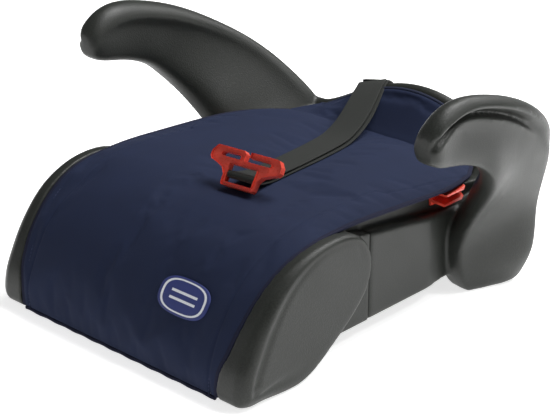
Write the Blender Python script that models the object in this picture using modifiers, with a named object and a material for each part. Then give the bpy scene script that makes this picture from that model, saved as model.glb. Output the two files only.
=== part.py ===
"""Backless child booster seat: a moulded shell with two forward-hooked armrests and two front
cheeks, a removable padded cover, a doubled webbing strap with a shoulder-belt clip, and a belt
guide under each armrest.

Metres, +Z up, +X to one side, the front faces -Y. Every position below is given in the seat's own
datum: X = 0 on the plane of symmetry, Y = 0 where the cover meets the floor in front, Z = 0 on the
floor. One empty moves that datum so that the finished seat is centred over the world origin.
"""

import math

import bmesh
import bpy
from mathutils import Matrix, Vector

# ---- driving dimensions ----------------------------------------------------------------------
DATUM_Y = 0.2090          # from the front datum back to the middle of the seat's depth
GAP = 0.0004              # clearance between neighbouring pieces

SEAT_HALF = 0.140         # half width over the recessed side panels
CORE_HALF = 0.1262        # half width of the shell between the two front cheeks
SEAM_Y = 0.176            # seam between a front cheek and the side panel
PANEL_BOTTOM = 0.016      # underside of the side panels
REAR_Y = 0.412            # rear face of the back wall
WALL_TOP = 0.150          # top of the low back wall, at HUMP_X
HUMP_X = 0.016            # the hump of the back wall leans to one side of the middle
VALLEY_TOP = 0.106        # top of the back wall where it meets the armrest ridges
VALLEY_X = 0.130
SHELL_WALL = 0.004        # thickness of the moulding round its open underside
RIB = 0.004               # thickness of the ribs under the deck
RIB_Y = (0.095, 0.170, 0.245, 0.325)

COVER_THICK = 0.002       # quilted fabric
FOAM_THICK = 0.0065
REST_FOAM_THICK = 0.0035
CROWN = 0.004             # how much the seat stands up in the middle
HEM_R = 0.0018            # rolled hem

LABEL_X = 0.0685          # middle of the plain patch on the front
LABEL_WIDTH = 0.057
LABEL_Z = (0.0570, 0.0840)
LABEL_THICK = 0.0010

STRAP_WIDTH = 0.029
STRAP_THICK = 0.0014
FOLD_X = -0.044           # where the strap crosses the top of the back wall
REAR_RUN_Y = 0.4162       # centre of the doubled strap down the outside of the back wall
LOW_RUN_Y = 0.4142        # and under its bracket
CLIP_BAR = Vector((0.0325, 0.1219, 0.1292))    # middle of the clip's lower bar
CLIP_TILT = math.radians(55)
CLIP_YAW = math.radians(6)
CLIP_THICK = 0.0070
PIN_LENGTH = 0.0325
PIN_W = 0.0095            # height of the clip's pin over its lower bar, in the clip's plane
PIN_R = 0.0016
LOOP_R = 0.0028           # centre line of the webbing round the pin
FOLD_TILT = 0.20          # slope of the strap across its width where it folds over the wall
HINGE_Y = 0.3980          # the strap turns about a line over the back wall's top, level with FOLD_TILT
HINGE_RISE = 0.0044

# Side view of the cover's edge, from the floor up the front and back along the seat: (Y, Z).
PROFILE = [
    (0.0000, 0.0055), (0.0004, 0.0250), (0.0060, 0.0430), (0.0180, 0.0650), (0.0360, 0.0870),
    (0.0520, 0.1000), (0.0680, 0.1090), (0.0860, 0.1150), (0.1080, 0.1185), (0.1500, 0.1203),
    (0.2000, 0.1180), (0.2500, 0.1150), (0.3000, 0.1115), (0.3300, 0.1085), (0.3500, 0.1065),
]
# Half width of the cover with its hem, against the distance back: (Y, X).
COVER_HALF = [
    (0.0000, 0.1266), (0.0060, 0.1330), (0.0200, 0.1370), (0.0500, 0.1410), (0.0850, 0.1440),
    (0.1500, 0.1455), (0.2500, 0.1475), (0.2800, 0.1465), (0.3000, 0.1430), (0.3250, 0.1350),
    (0.3500, 0.1190),
]


# ---- small helpers ---------------------------------------------------------------------------
def catmull(a, b, c, d, t):
    """The point at t between b and c of a smooth curve through four values."""
    return 0.5 * (2 * b + (c - a) * t + (2 * a - 5 * b + 4 * c - d) * t * t
                  + (3 * b - a - 3 * c + d) * t * t * t)


def smooth(points, steps):
    """A list of tuples with steps spans in each gap, on a smooth curve through them."""
    last = len(points) - 1
    out = []
    for i in range(last):
        four = [points[min(max(i + k, 0), last)] for k in (-1, 0, 1, 2)]
        for j in range(steps):
            out.append(tuple(catmull(*v, j / steps) for v in zip(*four)))
    out.append(tuple(points[last]))
    return out


def lookup(table, x):
    """Linear interpolation in a list of (x, value)."""
    if x <= table[0][0]:
        return table[0][1]
    for (x0, v0), (x1, v1) in zip(table, table[1:]):
        if x <= x1:
            return v0 + (v1 - v0) * (x - x0) / (x1 - x0)
    return table[-1][1]


def resample(points, count):
    """count points evenly spaced along a polyline."""
    lengths = [0.0]
    for p, q in zip(points, points[1:]):
        lengths.append(lengths[-1] + math.dist(p, q))
    out = []
    for i in range(count):
        s = lengths[-1] * i / (count - 1)
        out.append(tuple(lookup(list(zip(lengths, axis)), s) for axis in zip(*points)))
    return out


def normals(points):
    """The unit normal, on the left of the direction of travel, at each point of a 2D polyline."""
    out = []
    for i in range(len(points)):
        p, q = points[max(i - 1, 0)], points[min(i + 1, len(points) - 1)]
        run = Vector((q[0] - p[0], q[1] - p[1])).normalized()
        out.append(Vector((-run.y, run.x)))
    return out


def collection(name):
    c = bpy.data.collections.new(name)
    bpy.context.scene.collection.children.link(c)
    return c


def material(name, colour, roughness, metallic=0.0):
    m = bpy.data.materials.new(name)
    m.use_nodes = True
    shader = m.node_tree.nodes["Principled BSDF"]
    shader.inputs["Base Color"].default_value = (*colour, 1.0)
    shader.inputs["Roughness"].default_value = roughness
    shader.inputs["Metallic"].default_value = metallic
    return m


def add(name, data, mat, parent, group):
    """An object in a collection, under an empty whose own transform it starts from."""
    ob = bpy.data.objects.new(name, data)
    group.objects.link(ob)
    ob.parent = parent
    if mat:
        data.materials.append(mat)
    return ob


def mesh_from(bm, name, smooth_angle=40, closed=True):
    if closed:
        bmesh.ops.recalc_face_normals(bm, faces=bm.faces)
    me = bpy.data.meshes.new(name)
    bm.to_mesh(me)
    bm.free()
    me.shade_smooth()
    me.set_sharp_from_angle(angle=math.radians(smooth_angle))
    return me


def loft(name, rings, smooth_angle=40):
    """A closed solid through rings that have equal numbers of points, capped at both ends."""
    bm = bmesh.new()
    rows = [[bm.verts.new(p) for p in ring] for ring in rings]
    for lower, upper in zip(rows, rows[1:]):
        for i in range(len(lower)):
            j = (i + 1) % len(lower)
            bm.faces.new((lower[i], lower[j], upper[j], upper[i]))
    bm.faces.new(rows[0][::-1])
    bm.faces.new(rows[-1])
    return mesh_from(bm, name, smooth_angle)


def sheet(name, rows, smooth_angle=60):
    """An open surface through rows of points, for a Solidify modifier."""
    bm = bmesh.new()
    grid = [[bm.verts.new(p) for p in row] for row in rows]
    for lower, upper in zip(grid, grid[1:]):
        for i in range(len(lower) - 1):
            bm.faces.new((lower[i], lower[i + 1], upper[i + 1], upper[i]))
    return mesh_from(bm, name, smooth_angle, closed=False)


def solidify(ob, thickness, offset):
    m = ob.modifiers.new("thickness", "SOLIDIFY")
    m.thickness = thickness
    m.offset = offset
    m.use_even_offset = True
    return m


def subdivide(ob, levels):
    m = ob.modifiers.new("subdivision", "SUBSURF")
    m.levels = levels
    m.render_levels = levels
    return m


def boolean(ob, tool, operation="DIFFERENCE"):
    m = ob.modifiers.new(tool.name, "BOOLEAN")
    m.operation = operation
    m.object = tool
    return m


def as_cutter(ob):
    ob.hide_render = True
    ob.display_type = "WIRE"
    return ob


def box_mesh(name, low, high):
    """A box between two corners, from a cube primitive."""
    bm = bmesh.new()
    size = [h - l for l, h in zip(low, high)]
    middle = [(l + h) / 2 for l, h in zip(low, high)]
    where = Matrix.Translation(middle) @ Matrix.Diagonal((*size, 1.0))
    bmesh.ops.create_cube(bm, size=1.0, matrix=where)
    return mesh_from(bm, name)


def tube(name, points, radius, mat, parent, group, resolution=2):
    """A round bar along points: a bevelled curve with filled caps."""
    cu = bpy.data.curves.new(name, "CURVE")
    cu.dimensions = "3D"
    cu.bevel_depth = radius
    cu.bevel_resolution = resolution
    cu.use_fill_caps = True
    spline = cu.splines.new("POLY")
    spline.points.add(len(points) - 1)
    for p, co in zip(spline.points, points):
        p.co = (*co, 1.0)
    return add(name, cu, mat, parent, group)


def plate(name, outlines, thickness, mat, parent, group, matrix):
    """A flat outline, with holes, as a filled 2D curve extruded by half its thickness each way."""
    cu = bpy.data.curves.new(name, "CURVE")
    cu.dimensions = "2D"
    cu.fill_mode = "BOTH"
    cu.extrude = thickness / 2
    for outline in outlines:
        spline = cu.splines.new("POLY")
        spline.use_cyclic_u = True
        spline.points.add(len(outline) - 1)
        for p, co in zip(spline.points, outline):
            p.co = (co[0], co[1], 0.0, 1.0)
    ob = add(name, cu, mat, parent, group)
    ob.matrix_local = matrix
    return ob


# ---- the seat's side view and the cover's surface -------------------------------------------
SIDE = resample(smooth(PROFILE, 6), 41)
SIDE_NORMALS = normals(SIDE)
SIDE_TOP = [(y, z) for y, z in SIDE if y > 0.09]


def seat_rows(offset, first, last, inset, columns=12, crown=CROWN):
    """Rows of points across the seat, standing offset above the cover's outer surface.

    first and last are positions in SIDE, and inset is taken off the cover's half width.
    """
    rows = []
    for i in range(first, last + 1):
        y, z = SIDE[i]
        n = SIDE_NORMALS[i]
        half = lookup(COVER_HALF, y) - inset
        rise = crown * min(1.0, y / 0.06)
        row = []
        for k in range(columns + 1):
            across = -1 + 2 * k / columns
            out = offset + rise * (1 - across * across)
            row.append((half * across, y + n.x * out, z + n.y * out))
        rows.append(row)
    return rows


def wall_height(x):
    """The top of the low back wall: a hump that falls to a valley at each armrest's ridge."""
    share = min(abs(x - HUMP_X) / VALLEY_X, 1.0)
    return VALLEY_TOP + (WALL_TOP - VALLEY_TOP) * (1 - share ** 2) ** 1.5


# ---- the shell -------------------------------------------------------------------------------
def core_ring(x, inset, floor):
    """The shell's side view at one distance from the middle, inset from its outer surface."""
    skin = COVER_THICK + FOAM_THICK + 3 * GAP + inset
    ring = []
    for i in range(2, 37, 2):
        y, z = SIDE[i]
        n = SIDE_NORMALS[i]
        ring.append((x, y - n.x * skin, z - n.y * skin))
    top = wall_height(x) - inset
    foot, brow = 0.0945 - inset, max(top - 0.006, 0.0950 - inset)
    ring.append((x, 0.3570 + 0.6 * inset, foot))
    ring.append((x, 0.3752 + 0.7 * inset, (foot + brow) / 2 - 0.0005))
    ring.append((x, 0.3935 + 0.8 * inset, brow))
    ring.append((x, 0.4000, max(top, 0.0955 - inset)))
    ring.append((x, 0.4090 - inset, max(top - 0.005, 0.0950 - inset)))
    ring.append((x, REAR_Y - inset, 0.0700))
    ring.append((x, REAR_Y - 0.002 - inset, floor))
    ring.append((x, 0.2500, floor))
    ring.append((x, 0.0120 + inset, floor))
    return ring


# The armrest and its pillar, as sections from the free tip, back along the ridge and down to the
# rear foot. Each section lies between a point on its lower front edge and one on its ridge (Y, Z),
# then gives the places of the groove and the rim between them, and X on the outer and the inner
# side at the lower edge, the middle, the groove, the rim and the top.
ARM = [
    ((0.158, 0.1900, 0.1565, 0.2080), (0.55, 0.75), (0.2160, 0.2170, 0.2170, 0.2160, 0.2120),
     (0.2000, 0.1990, 0.1995, 0.2010, 0.2030)),
    ((0.166, 0.1840, 0.1590, 0.2180), (0.60, 0.78), (0.2200, 0.2205, 0.2210, 0.2205, 0.2130),
     (0.1945, 0.1940, 0.1945, 0.1965, 0.2010)),
    ((0.184, 0.1790, 0.1760, 0.2324), (0.65, 0.78), (0.2180, 0.2170, 0.2170, 0.2220, 0.2140),
     (0.1955, 0.1950, 0.1955, 0.1950, 0.2000)),
    ((0.208, 0.1740, 0.2040, 0.2368), (0.72, 0.82), (0.2170, 0.2115, 0.2120, 0.2225, 0.2145),
     (0.1965, 0.1975, 0.1975, 0.1935, 0.1985)),
    ((0.234, 0.1640, 0.2440, 0.2284), (0.74, 0.84), (0.2170, 0.2105, 0.2115, 0.2225, 0.2145),
     (0.1950, 0.1965, 0.1965, 0.1915, 0.1965)),
    ((0.253, 0.1490, 0.2860, 0.2138), (0.76, 0.86), (0.2165, 0.2105, 0.2120, 0.2215, 0.2130),
     (0.1910, 0.1940, 0.1935, 0.1890, 0.1940)),
    ((0.270, 0.1280, 0.3290, 0.1905), (0.78, 0.88), (0.2130, 0.2095, 0.2105, 0.2140, 0.2065),
     (0.1870, 0.1860, 0.1850, 0.1820, 0.1860)),
    ((0.281, 0.1060, 0.3690, 0.1600), (0.78, 0.90), (0.2045, 0.2075, 0.2035, 0.1965, 0.1880),
     (0.1740, 0.1680, 0.1650, 0.1620, 0.1660)),
    ((0.288, 0.0820, 0.3960, 0.1232), (0.76, 0.90), (0.1850, 0.1965, 0.1865, 0.1690, 0.1550),
     (0.1540, 0.1440, 0.1370, 0.1320, 0.1360)),
    ((0.290, 0.0500, 0.4080, 0.0900), (0.74, 0.90), (0.1640, 0.1850, 0.1750, 0.1550, 0.1370),
     (0.1180, 0.1150, 0.1130, 0.1120, 0.1120)),
    ((0.296, 0.0200, 0.4060, 0.0400), (0.72, 0.88), (0.1560, 0.1805, 0.1720, 0.1500, 0.1350),
     (0.1180, 0.1150, 0.1130, 0.1120, 0.1120)),
    ((0.312, -0.0040, 0.3845, -0.0040), (0.70, 0.85), (0.1540, 0.1650, 0.1600, 0.1430, 0.1330),
     (0.1250, 0.1200, 0.1180, 0.1180, 0.1180)),
]
ARM_EDGE = 0.004          # how far a section narrows at its rounded lower edge
# How far the inner side of the ridge lies below the outer one, as a share of a section, against
# the share of the way from the tip to the foot.
INNER_DROP = [(0.0, 0.10), (0.27, 0.10), (0.45, 0.06), (0.60, 0.0)]


def arm_rings():
    rows = smooth([(*ends, *places, *outer, *inner) for ends, places, outer, inner in ARM], 2)
    rings = []
    for k, row in enumerate(rows):
        y0, z0, y1, z1, groove, rim = row[:6]
        outer, inner = row[6:11], row[11:16]
        drop = lookup(INNER_DROP, k / (len(rows) - 1))
        outside = (0.12, 0.5, groove, rim, 1.0)
        inside = (1.0 - drop, rim - drop, groove - drop, 0.5, 0.12)

        def at(share, x):
            return (x, y0 + (y1 - y0) * share, z0 + (z1 - z0) * share)

        ring = [at(0.0, outer[0] - ARM_EDGE)]
        ring += [at(s, x) for s, x in zip(outside, outer)]
        ring += [at(s, x) for s, x in zip(inside, inner[::-1])]
        ring.append(at(0.0, inner[0] + ARM_EDGE))
        rings.append(ring)
    return rings


def side_panel_rings():
    """The side panel and the ledge that carries the cover's edge, from the seam to the rear."""
    top = [(SEAM_Y + GAP, 0.1005), (0.220, 0.0950), (0.260, 0.0890), (0.290, 0.0850), (0.380, 0.0850)]
    rings = []
    for y, z in top:
        out = SEAT_HALF
        if y > 0.27:
            out = SEAT_HALF - 0.004
        rings.append([
            (0.1150, y, PANEL_BOTTOM), (out - 0.002, y, PANEL_BOTTOM), (out, y, PANEL_BOTTOM + 0.002),
            (out, y, z - 0.003), (out - 0.003, y, z), (0.1280, y, z), (0.1150, y, z),
        ])
    return rings


def on_side(rings, side):
    """The same rings, mirrored for the -X side."""
    return [[(side * x, y, z) for x, y, z in ring] for ring in rings]


def make_shell(mats, parent, parts, cutters):
    inner = (-0.115, -0.1025, -0.09, -0.075, -0.06, -0.03, 0.0, 0.03, 0.06, 0.075, 0.09, 0.1025, 0.115)
    stations = (-CORE_HALF, *inner, CORE_HALF)
    core = loft("seat_shell", [core_ring(x, 0.0, PANEL_BOTTOM + 0.0006) for x in stations])
    shell = add("seat_shell", core, mats["shell"], parent, parts)

    hollow_at = (SHELL_WALL - CORE_HALF, *inner, CORE_HALF - SHELL_WALL)
    hollows = [loft("hollow", [core_ring(x, SHELL_WALL, -0.01) for x in hollow_at])]
    ribs = []
    for y in RIB_Y:
        top = lookup(SIDE_TOP, y) - COVER_THICK - FOAM_THICK - 3 * GAP - SHELL_WALL / 2
        ribs.append(box_mesh("cross_rib", (-0.1240, y - RIB / 2, PANEL_BOTTOM + 0.006),
                             (0.1240, y + RIB / 2, top)))
    panels, arms, floors = [], [], []
    for side in (-1, 1):
        panels.append(loft("side_panel", on_side(side_panel_rings(), side)))
        arms.append(loft("armrest", on_side(arm_rings(), side)))
        x0, x1 = sorted((side * 0.1100, side * 0.1355))
        hollows.append(box_mesh("side_hollow", (x0, SEAM_Y + 0.005, -0.011), (x1, 0.285, 0.078)))
        x0, x1 = sorted((side * 0.05, side * 0.30))
        floors.append(box_mesh("below_floor", (x0, 0.20, -0.05), (x1, 0.45, 0.0)))

    for step, operation in ((panels, "UNION"), (hollows, "DIFFERENCE"), (ribs, "UNION"),
                            (arms, "UNION"), (floors, "DIFFERENCE")):
        for mesh in step:
            tool = as_cutter(add(mesh.name, mesh, None, parent, cutters))
            if mesh.name.startswith("armrest"):
                subdivide(tool, 1)
            boolean(shell, tool, operation)
    return shell


# ---- the front cheeks ------------------------------------------------------------------------
# Outline of a cheek's leaf in side view, from the floor in front, over the top and back (Y, Z).
LEAF = [
    (0.0080, 0.0000), (-0.0020, 0.0090), (0.0000, 0.0300), (0.0080, 0.0490), (0.0200, 0.0700),
    (0.0370, 0.0905), (0.0540, 0.1040), (0.0720, 0.1125), (0.0900, 0.1175), (0.1100, 0.1195),
    (0.1290, 0.1180), (0.1440, 0.1120), (0.1530, 0.1010), (0.1570, 0.0880), (0.1560, 0.0730),
    (0.1500, 0.0590), (0.1370, 0.0450), (0.1220, 0.0330), (0.1050, 0.0210), (0.0870, 0.0095),
    (0.0680, 0.0020), (0.0470, 0.0000), (0.0270, 0.0000),
]
LEAF_FRONT_END = 10       # the points of LEAF up to here lie on its rounded front edge
LEAF_OUTER = 0.1580       # X of the leaf's flat outer face


def leaf_rings():
    """Rings from the leaf's inner face out to the middle of its outer face.

    The front edge is a broad roll with a shallow valley behind it. The rear edge is crisp.
    """
    count = len(LEAF)
    rolled = [(0.0, 0.0150), (0.0050, 0.0050), (0.0120, 0.0004), (0.0210, 0.0018), (0.0300, 0.0)]
    crisp = [(0.0, 0.0020), (0.0012, 0.0004), (0.0060, 0.0), (0.0120, 0.0), (0.0200, 0.0)]
    inner = [(CORE_HALF + GAP, y, z) for y, z in LEAF]
    rings = [inner]
    for (roll_in, roll_drop), (crisp_in, crisp_drop) in zip(rolled, crisp):
        ring = []
        for i in range(count):
            before, after = LEAF[i - 1], LEAF[(i + 1) % count]
            run = Vector((after[0] - before[0], after[1] - before[1])).normalized()
            inward = Vector((run.y, -run.x))
            front = 1.0
            if i > LEAF_FRONT_END:
                front = max(0.0, 1.0 - (i - LEAF_FRONT_END) / 3)
            if i > 19:
                front = max(front, (i - 19) / 4)
            inset = crisp_in + (roll_in - crisp_in) * front
            drop = crisp_drop + (roll_drop - crisp_drop) * front
            y, z = LEAF[i]
            ring.append((LEAF_OUTER - drop, y + inward.x * inset, z + inward.y * inset))
        rings.append(ring)
    return rings


def make_cheek(side, mats, parent, parts, cutters, clearance):
    """A front cheek on one side: the raised leaf and the stretch of side panel behind it."""
    name = "front_cheek_left" if side < 0 else "front_cheek_right"
    rings = leaf_rings()
    if side < 0:
        rings = [[(-x, y, z) for x, y, z in ring] for ring in rings]
    cheek = add(name, loft(name, rings), mats["shell"], parent, parts)
    inner, outer = CORE_HALF + GAP, SEAT_HALF
    outline = [
        (0.0520, PANEL_BOTTOM), (SEAM_Y - GAP, PANEL_BOTTOM), (SEAM_Y - GAP, 0.1005),
        (0.1490, 0.1050), (0.1210, 0.1060), (0.0520, 0.0805),
    ]
    walls = [[(side * x, y, z) for y, z in outline] for x in (inner, outer)]
    wall = as_cutter(add("cheek_wall", loft("cheek_wall", walls), None, parent, cutters))
    boolean(cheek, wall, "UNION")
    boolean(cheek, clearance)
    return cheek


def make_cover_clearance(parent, cutters):
    """The room that the cover takes up, less a small gap, to be cut from the cheeks."""
    rows = seat_rows(0.010, 0, 40, -GAP, columns=2, crown=0.0)
    ob = as_cutter(add("cover_room", sheet("cover_room", rows), None, parent, cutters))
    solidify(ob, 0.010 + COVER_THICK / 2 + HEM_R + GAP, -1)
    return ob


# ---- foam, cover and hems --------------------------------------------------------------------
CREASE_Y = 0.3525         # where the seat meets the back slope
SLOPE_TOP_Y = 0.3865


def slope_rows(offset, first, last, inset, columns=12, count=7):
    """Rows up the back slope; first and last are shares of its height, offset stands outward."""
    rows = []
    for j in range(count):
        v = first + (last - first) * j / (count - 1)
        half = 0.1170 - 0.0120 * v - inset
        row = []
        for k in range(columns + 1):
            across = -1 + 2 * k / columns
            x = half * across
            low = 0.1066 + CROWN * (1 - across * across)
            high = max(wall_height(x) - 0.0045, low + 0.0004)
            run = Vector((SLOPE_TOP_Y - CREASE_Y, high - low)).normalized()
            y = CREASE_Y + (SLOPE_TOP_Y - CREASE_Y) * v - run.y * offset
            z = low + (high - low) * v ** 1.1 + run.x * offset
            row.append((x, y, z))
        rows.append(row)
    return rows


def limit_rows(rows, half):
    """The same rows, narrowed where they are wider than a half width."""
    out = []
    for row in rows:
        widest = max(abs(p[0]) for p in row)
        share = min(1.0, half / widest)
        out.append([(p[0] * share, p[1], p[2]) for p in row])
    return out


def make_cover(mats, parent, parts):
    hem_room = 2 * HEM_R + 2 * GAP
    seat = add("cover_seat_panel", sheet("cover_seat_panel", seat_rows(0.0, 0, 40, hem_room)),
               mats["fabric"], parent, parts)
    solidify(seat, COVER_THICK, -1)
    back = add("cover_back_panel", sheet("cover_back_panel", slope_rows(0.0, 0.02, 1.0, 0.0)),
               mats["fabric"], parent, parts)
    solidify(back, COVER_THICK, -1)

    foam_rows = limit_rows(seat_rows(-COVER_THICK - GAP, 6, 37, 0.012), CORE_HALF - 2 * GAP)
    foam = add("seat_foam", sheet("seat_foam", foam_rows), mats["foam"], parent, parts)
    solidify(foam, FOAM_THICK, -1)
    rest_rows = slope_rows(-COVER_THICK - 2 * GAP, 0.20, 0.72, 0.034)
    rest = add("backrest_foam", sheet("backrest_foam", rest_rows), mats["foam"], parent, parts)
    solidify(rest, REST_FOAM_THICK, -1)

    for side, name in ((-1, "cover_hem_left"), (1, "cover_hem_right")):
        path = []
        for i in range(41):
            y, z = SIDE[i]
            n = SIDE_NORMALS[i]
            x = lookup(COVER_HALF, y) - HEM_R
            path.append((side * x, y - n.x * COVER_THICK / 2, z - n.y * COVER_THICK / 2))
        tube(name, path, HEM_R, mats["binding"], parent, parts)
    y, z = SIDE[0]
    ends = lookup(COVER_HALF, y) - 2 * HEM_R - GAP
    low = z - HEM_R - GAP
    path = [(ends * (-1 + k / 6), y + COVER_THICK / 2, low) for k in range(13)]
    tube("cover_hem_front", path, HEM_R, mats["binding"], parent, parts)
    below, top = slope_rows(0.0, 0.8, 1.0, 0.0, count=2)
    path = []
    for low, high in zip(below, top):
        run = Vector((high[1] - low[1], high[2] - low[2])).normalized()
        y = high[1] + run.x * (HEM_R + GAP) + run.y * COVER_THICK / 2
        z = high[2] + run.y * (HEM_R + GAP) - run.x * COVER_THICK / 2
        path.append((high[0], y, z))
    tube("cover_hem_back", path, HEM_R, mats["binding"], parent, parts)

    front = SIDE[:16]
    rows = []
    for j in range(6):
        z = LABEL_Z[0] + (LABEL_Z[1] - LABEL_Z[0]) * j / 5
        y = lookup([(p[1], p[0]) for p in front], z)
        n = Vector([lookup([(p[1], m[k]) for p, m in zip(front, SIDE_NORMALS)], z) for k in (0, 1)])
        half = lookup(COVER_HALF, y) - hem_room
        row = []
        for k in range(7):
            x = LABEL_X + LABEL_WIDTH * (k / 6 - 0.5)
            out = CROWN * min(1.0, y / 0.06) * (1 - (x / half) ** 2) + LABEL_THICK + GAP
            row.append((x, y + n.x * out, z + n.y * out))
        rows.append(row)
    label = add("label_patch", sheet("label_patch", rows), mats["label"], parent, parts)
    solidify(label, LABEL_THICK, -1)


# ---- the strap -------------------------------------------------------------------------------
# The upper layer's centre line, from the back wall to the clip: (Y, X, height over the lower one).
STRAP_RUN = [
    (0.3960, -0.0435, 0.0019), (0.3850, -0.0375, 0.0030), (0.3650, -0.0275, 0.0048),
    (0.3400, -0.0160, 0.0048), (0.3100, -0.0060, 0.0036), (0.2700, 0.0040, 0.0028),
    (0.2300, 0.0125, 0.0024), (0.1900, 0.0200, 0.0026), (0.1560, 0.0268, 0.0042),
]
TILT_START_Y = 0.3415     # the strap is level across up to here, and takes the fold's slope behind


def fold_level():
    """Height of the wall under the middle of the strap, which rests on its +X edge there."""
    return wall_height(FOLD_X + STRAP_WIDTH / 2) - FOLD_TILT * STRAP_WIDTH / 2


def strap_floor(y):
    """Centre line height of the lower layer: on the seat, then a chord up to the back wall."""
    on_seat = lookup(SIDE_TOP, y) + CROWN + GAP + STRAP_THICK / 2 + 0.0004
    fold = fold_level() + 0.0016
    chord = [(0.290, on_seat), (0.330, 0.1255), (0.365, 0.1350), (0.3860, fold - 0.0006), (0.3960, fold)]
    return on_seat if y < chord[0][0] else lookup(chord, y)


def strip(name, path, across, width, mat, parent, group, thickness):
    """A closed band along a path: across gives the unit direction of its width at each point."""
    rows = []
    for p, w in zip(path, across):
        rows.append([tuple(Vector(p) + Vector(w) * width * s) for s in (-0.5, 0.0, 0.5)])
    ob = add(name, sheet(name, rows, 70), mat, parent, group)
    solidify(ob, thickness, 0)
    return ob


def make_strap(mats, hinge, clip_hinge, root, parts):
    """The doubled webbing over the seat, with its loop round the clip's pin."""
    frame = clip_frame()
    along, up, front = [frame.to_3x3() @ Vector(v) for v in ((1, 0, 0), (0, 1, 0), (0, 0, 1))]
    pin = CLIP_BAR + up * PIN_W
    runs = smooth(STRAP_RUN, 2)
    upper, lower, widths = [], [], []
    for i, (y, x, rise) in enumerate(runs):
        z = strap_floor(y)
        lower.append(Vector((x, y, z)))
        upper.append(Vector((x, y, z + rise)))
        near = min(1.0, i / (len(runs) - 1))
        tilt = FOLD_TILT * max(0.0, min(1.0, (y - TILT_START_Y) / (SLOPE_TOP_Y - TILT_START_Y)))
        widths.append(Vector((1, 0.25 * near ** 0.5 * (1 - near) + along.y * near, tilt)).normalized())
    loop = [pin + up * LOOP_R - front * 0.0090]
    for k in range(9):
        a = math.pi * k / 8
        loop.append(pin + (up * math.cos(a) + front * math.sin(a)) * LOOP_R)
    loop.append(pin - up * LOOP_R - front * 0.0110)
    path = upper + loop + lower[::-1]
    across = widths + [along] * len(loop) + widths[::-1]
    origin = hinge.location
    path = [p - origin for p in path]
    strip("strap_front_run", path, across, STRAP_WIDTH, mats["webbing"], hinge, parts, STRAP_THICK)

    top = fold_level()
    rear = [
        (FOLD_X, 0.3990, top + 0.0036), (FOLD_X, 0.4040, top + 0.0034), (FOLD_X, 0.4100, top + 0.0014),
        (FOLD_X - 0.0005, 0.4140, top - 0.0040), (FOLD_X - 0.001, REAR_RUN_Y, top - 0.0110),
        (FOLD_X - 0.003, REAR_RUN_Y, 0.1150), (FOLD_X - 0.0078, REAR_RUN_Y, 0.0800),
        (FOLD_X - 0.010, LOW_RUN_Y, 0.0620), (FOLD_X - 0.0127, LOW_RUN_Y, 0.0340),
    ]
    tilts = (1.0, 1.0, 1.0, 0.8, 0.5, 0.0, 0.0, 0.0, 0.0)
    across = [Vector((1, 0, FOLD_TILT * t)).normalized() for t in tilts]
    strip("strap_rear_run", rear, across, STRAP_WIDTH, mats["webbing"], root, parts, 2 * STRAP_THICK)


def rounded_rectangle(width, height, radius, steps=3):
    out = []
    corners = ((1, 1, 0), (-1, 1, 90), (-1, -1, 180), (1, -1, 270))
    for sx, sy, start in corners:
        for k in range(steps + 1):
            a = math.radians(start + 90 * k / steps)
            out.append((sx * (width / 2 - radius) + radius * math.cos(a),
                        sy * (height / 2 - radius) + radius * math.sin(a)))
    return out


KEEPER_LEAN = math.radians(7)
KEEPER_HEIGHT = 0.0100
BRACKET_Z, BRACKET_HEIGHT = 0.0480, 0.0160
BRACKET_FRONT, BRACKET_BACK = 0.4120, 0.4180
BRACKET_HALF, BRACKET_CHAMFER = 0.0250, 0.0010
BRACKET_SCREW_X = 0.0204
BRACKET_SCREW_HEAD = (0.0032, 0.0024, 0.0016)     # radius in the seat, radius outside, height


def screw_head(name, size, place, turn, mats, root, parts):
    """A plain conical screw head: size is its two radii and its height."""
    bm = bmesh.new()
    bmesh.ops.create_cone(bm, segments=16, radius1=size[0], radius2=size[1], depth=size[2], cap_ends=True)
    head = add(name, mesh_from(bm, name), mats["steel"], root, parts)
    head.location = place
    head.rotation_euler = turn


def make_rear_hardware(mats, root, keeper_at, parts):
    """The keeper that slides on the rear run, and the plate and screws that anchor the strap."""
    lean = Matrix.Rotation(KEEPER_LEAN, 4, "Y")
    outer, window = rounded_rectangle(0.0390, 0.0072, 0.0020), rounded_rectangle(0.0316, 0.0040, 0.0008)
    plate("strap_keeper", (outer, window), KEEPER_HEIGHT, mats["keeper"], keeper_at, parts, lean)
    x, inside = FOLD_X - 0.0115, STRAP_WIDTH / 2 + 0.0012
    front, channel, back = BRACKET_FRONT, LOW_RUN_Y + STRAP_THICK + GAP, BRACKET_BACK
    half, flat, cut = BRACKET_HALF, BRACKET_HALF - BRACKET_CHAMFER, BRACKET_BACK - BRACKET_CHAMFER
    bracket = [
        (-half, front), (-inside, front), (-inside, channel), (inside, channel), (inside, front),
        (half, front), (half, cut), (flat, back), (-flat, back), (-half, cut),
    ]
    at = Matrix.Translation((x, 0.0, BRACKET_Z))
    plate("strap_bracket", (bracket,), BRACKET_HEIGHT, mats["keeper"], root, parts, at)
    for side, name in ((-1, "bracket_screw_left"), (1, "bracket_screw_right")):
        place = (x + side * BRACKET_SCREW_X, back + GAP + BRACKET_SCREW_HEAD[2] / 2, BRACKET_Z)
        screw_head(name, BRACKET_SCREW_HEAD, place, (math.radians(-90), 0, 0), mats, root, parts)


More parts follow.
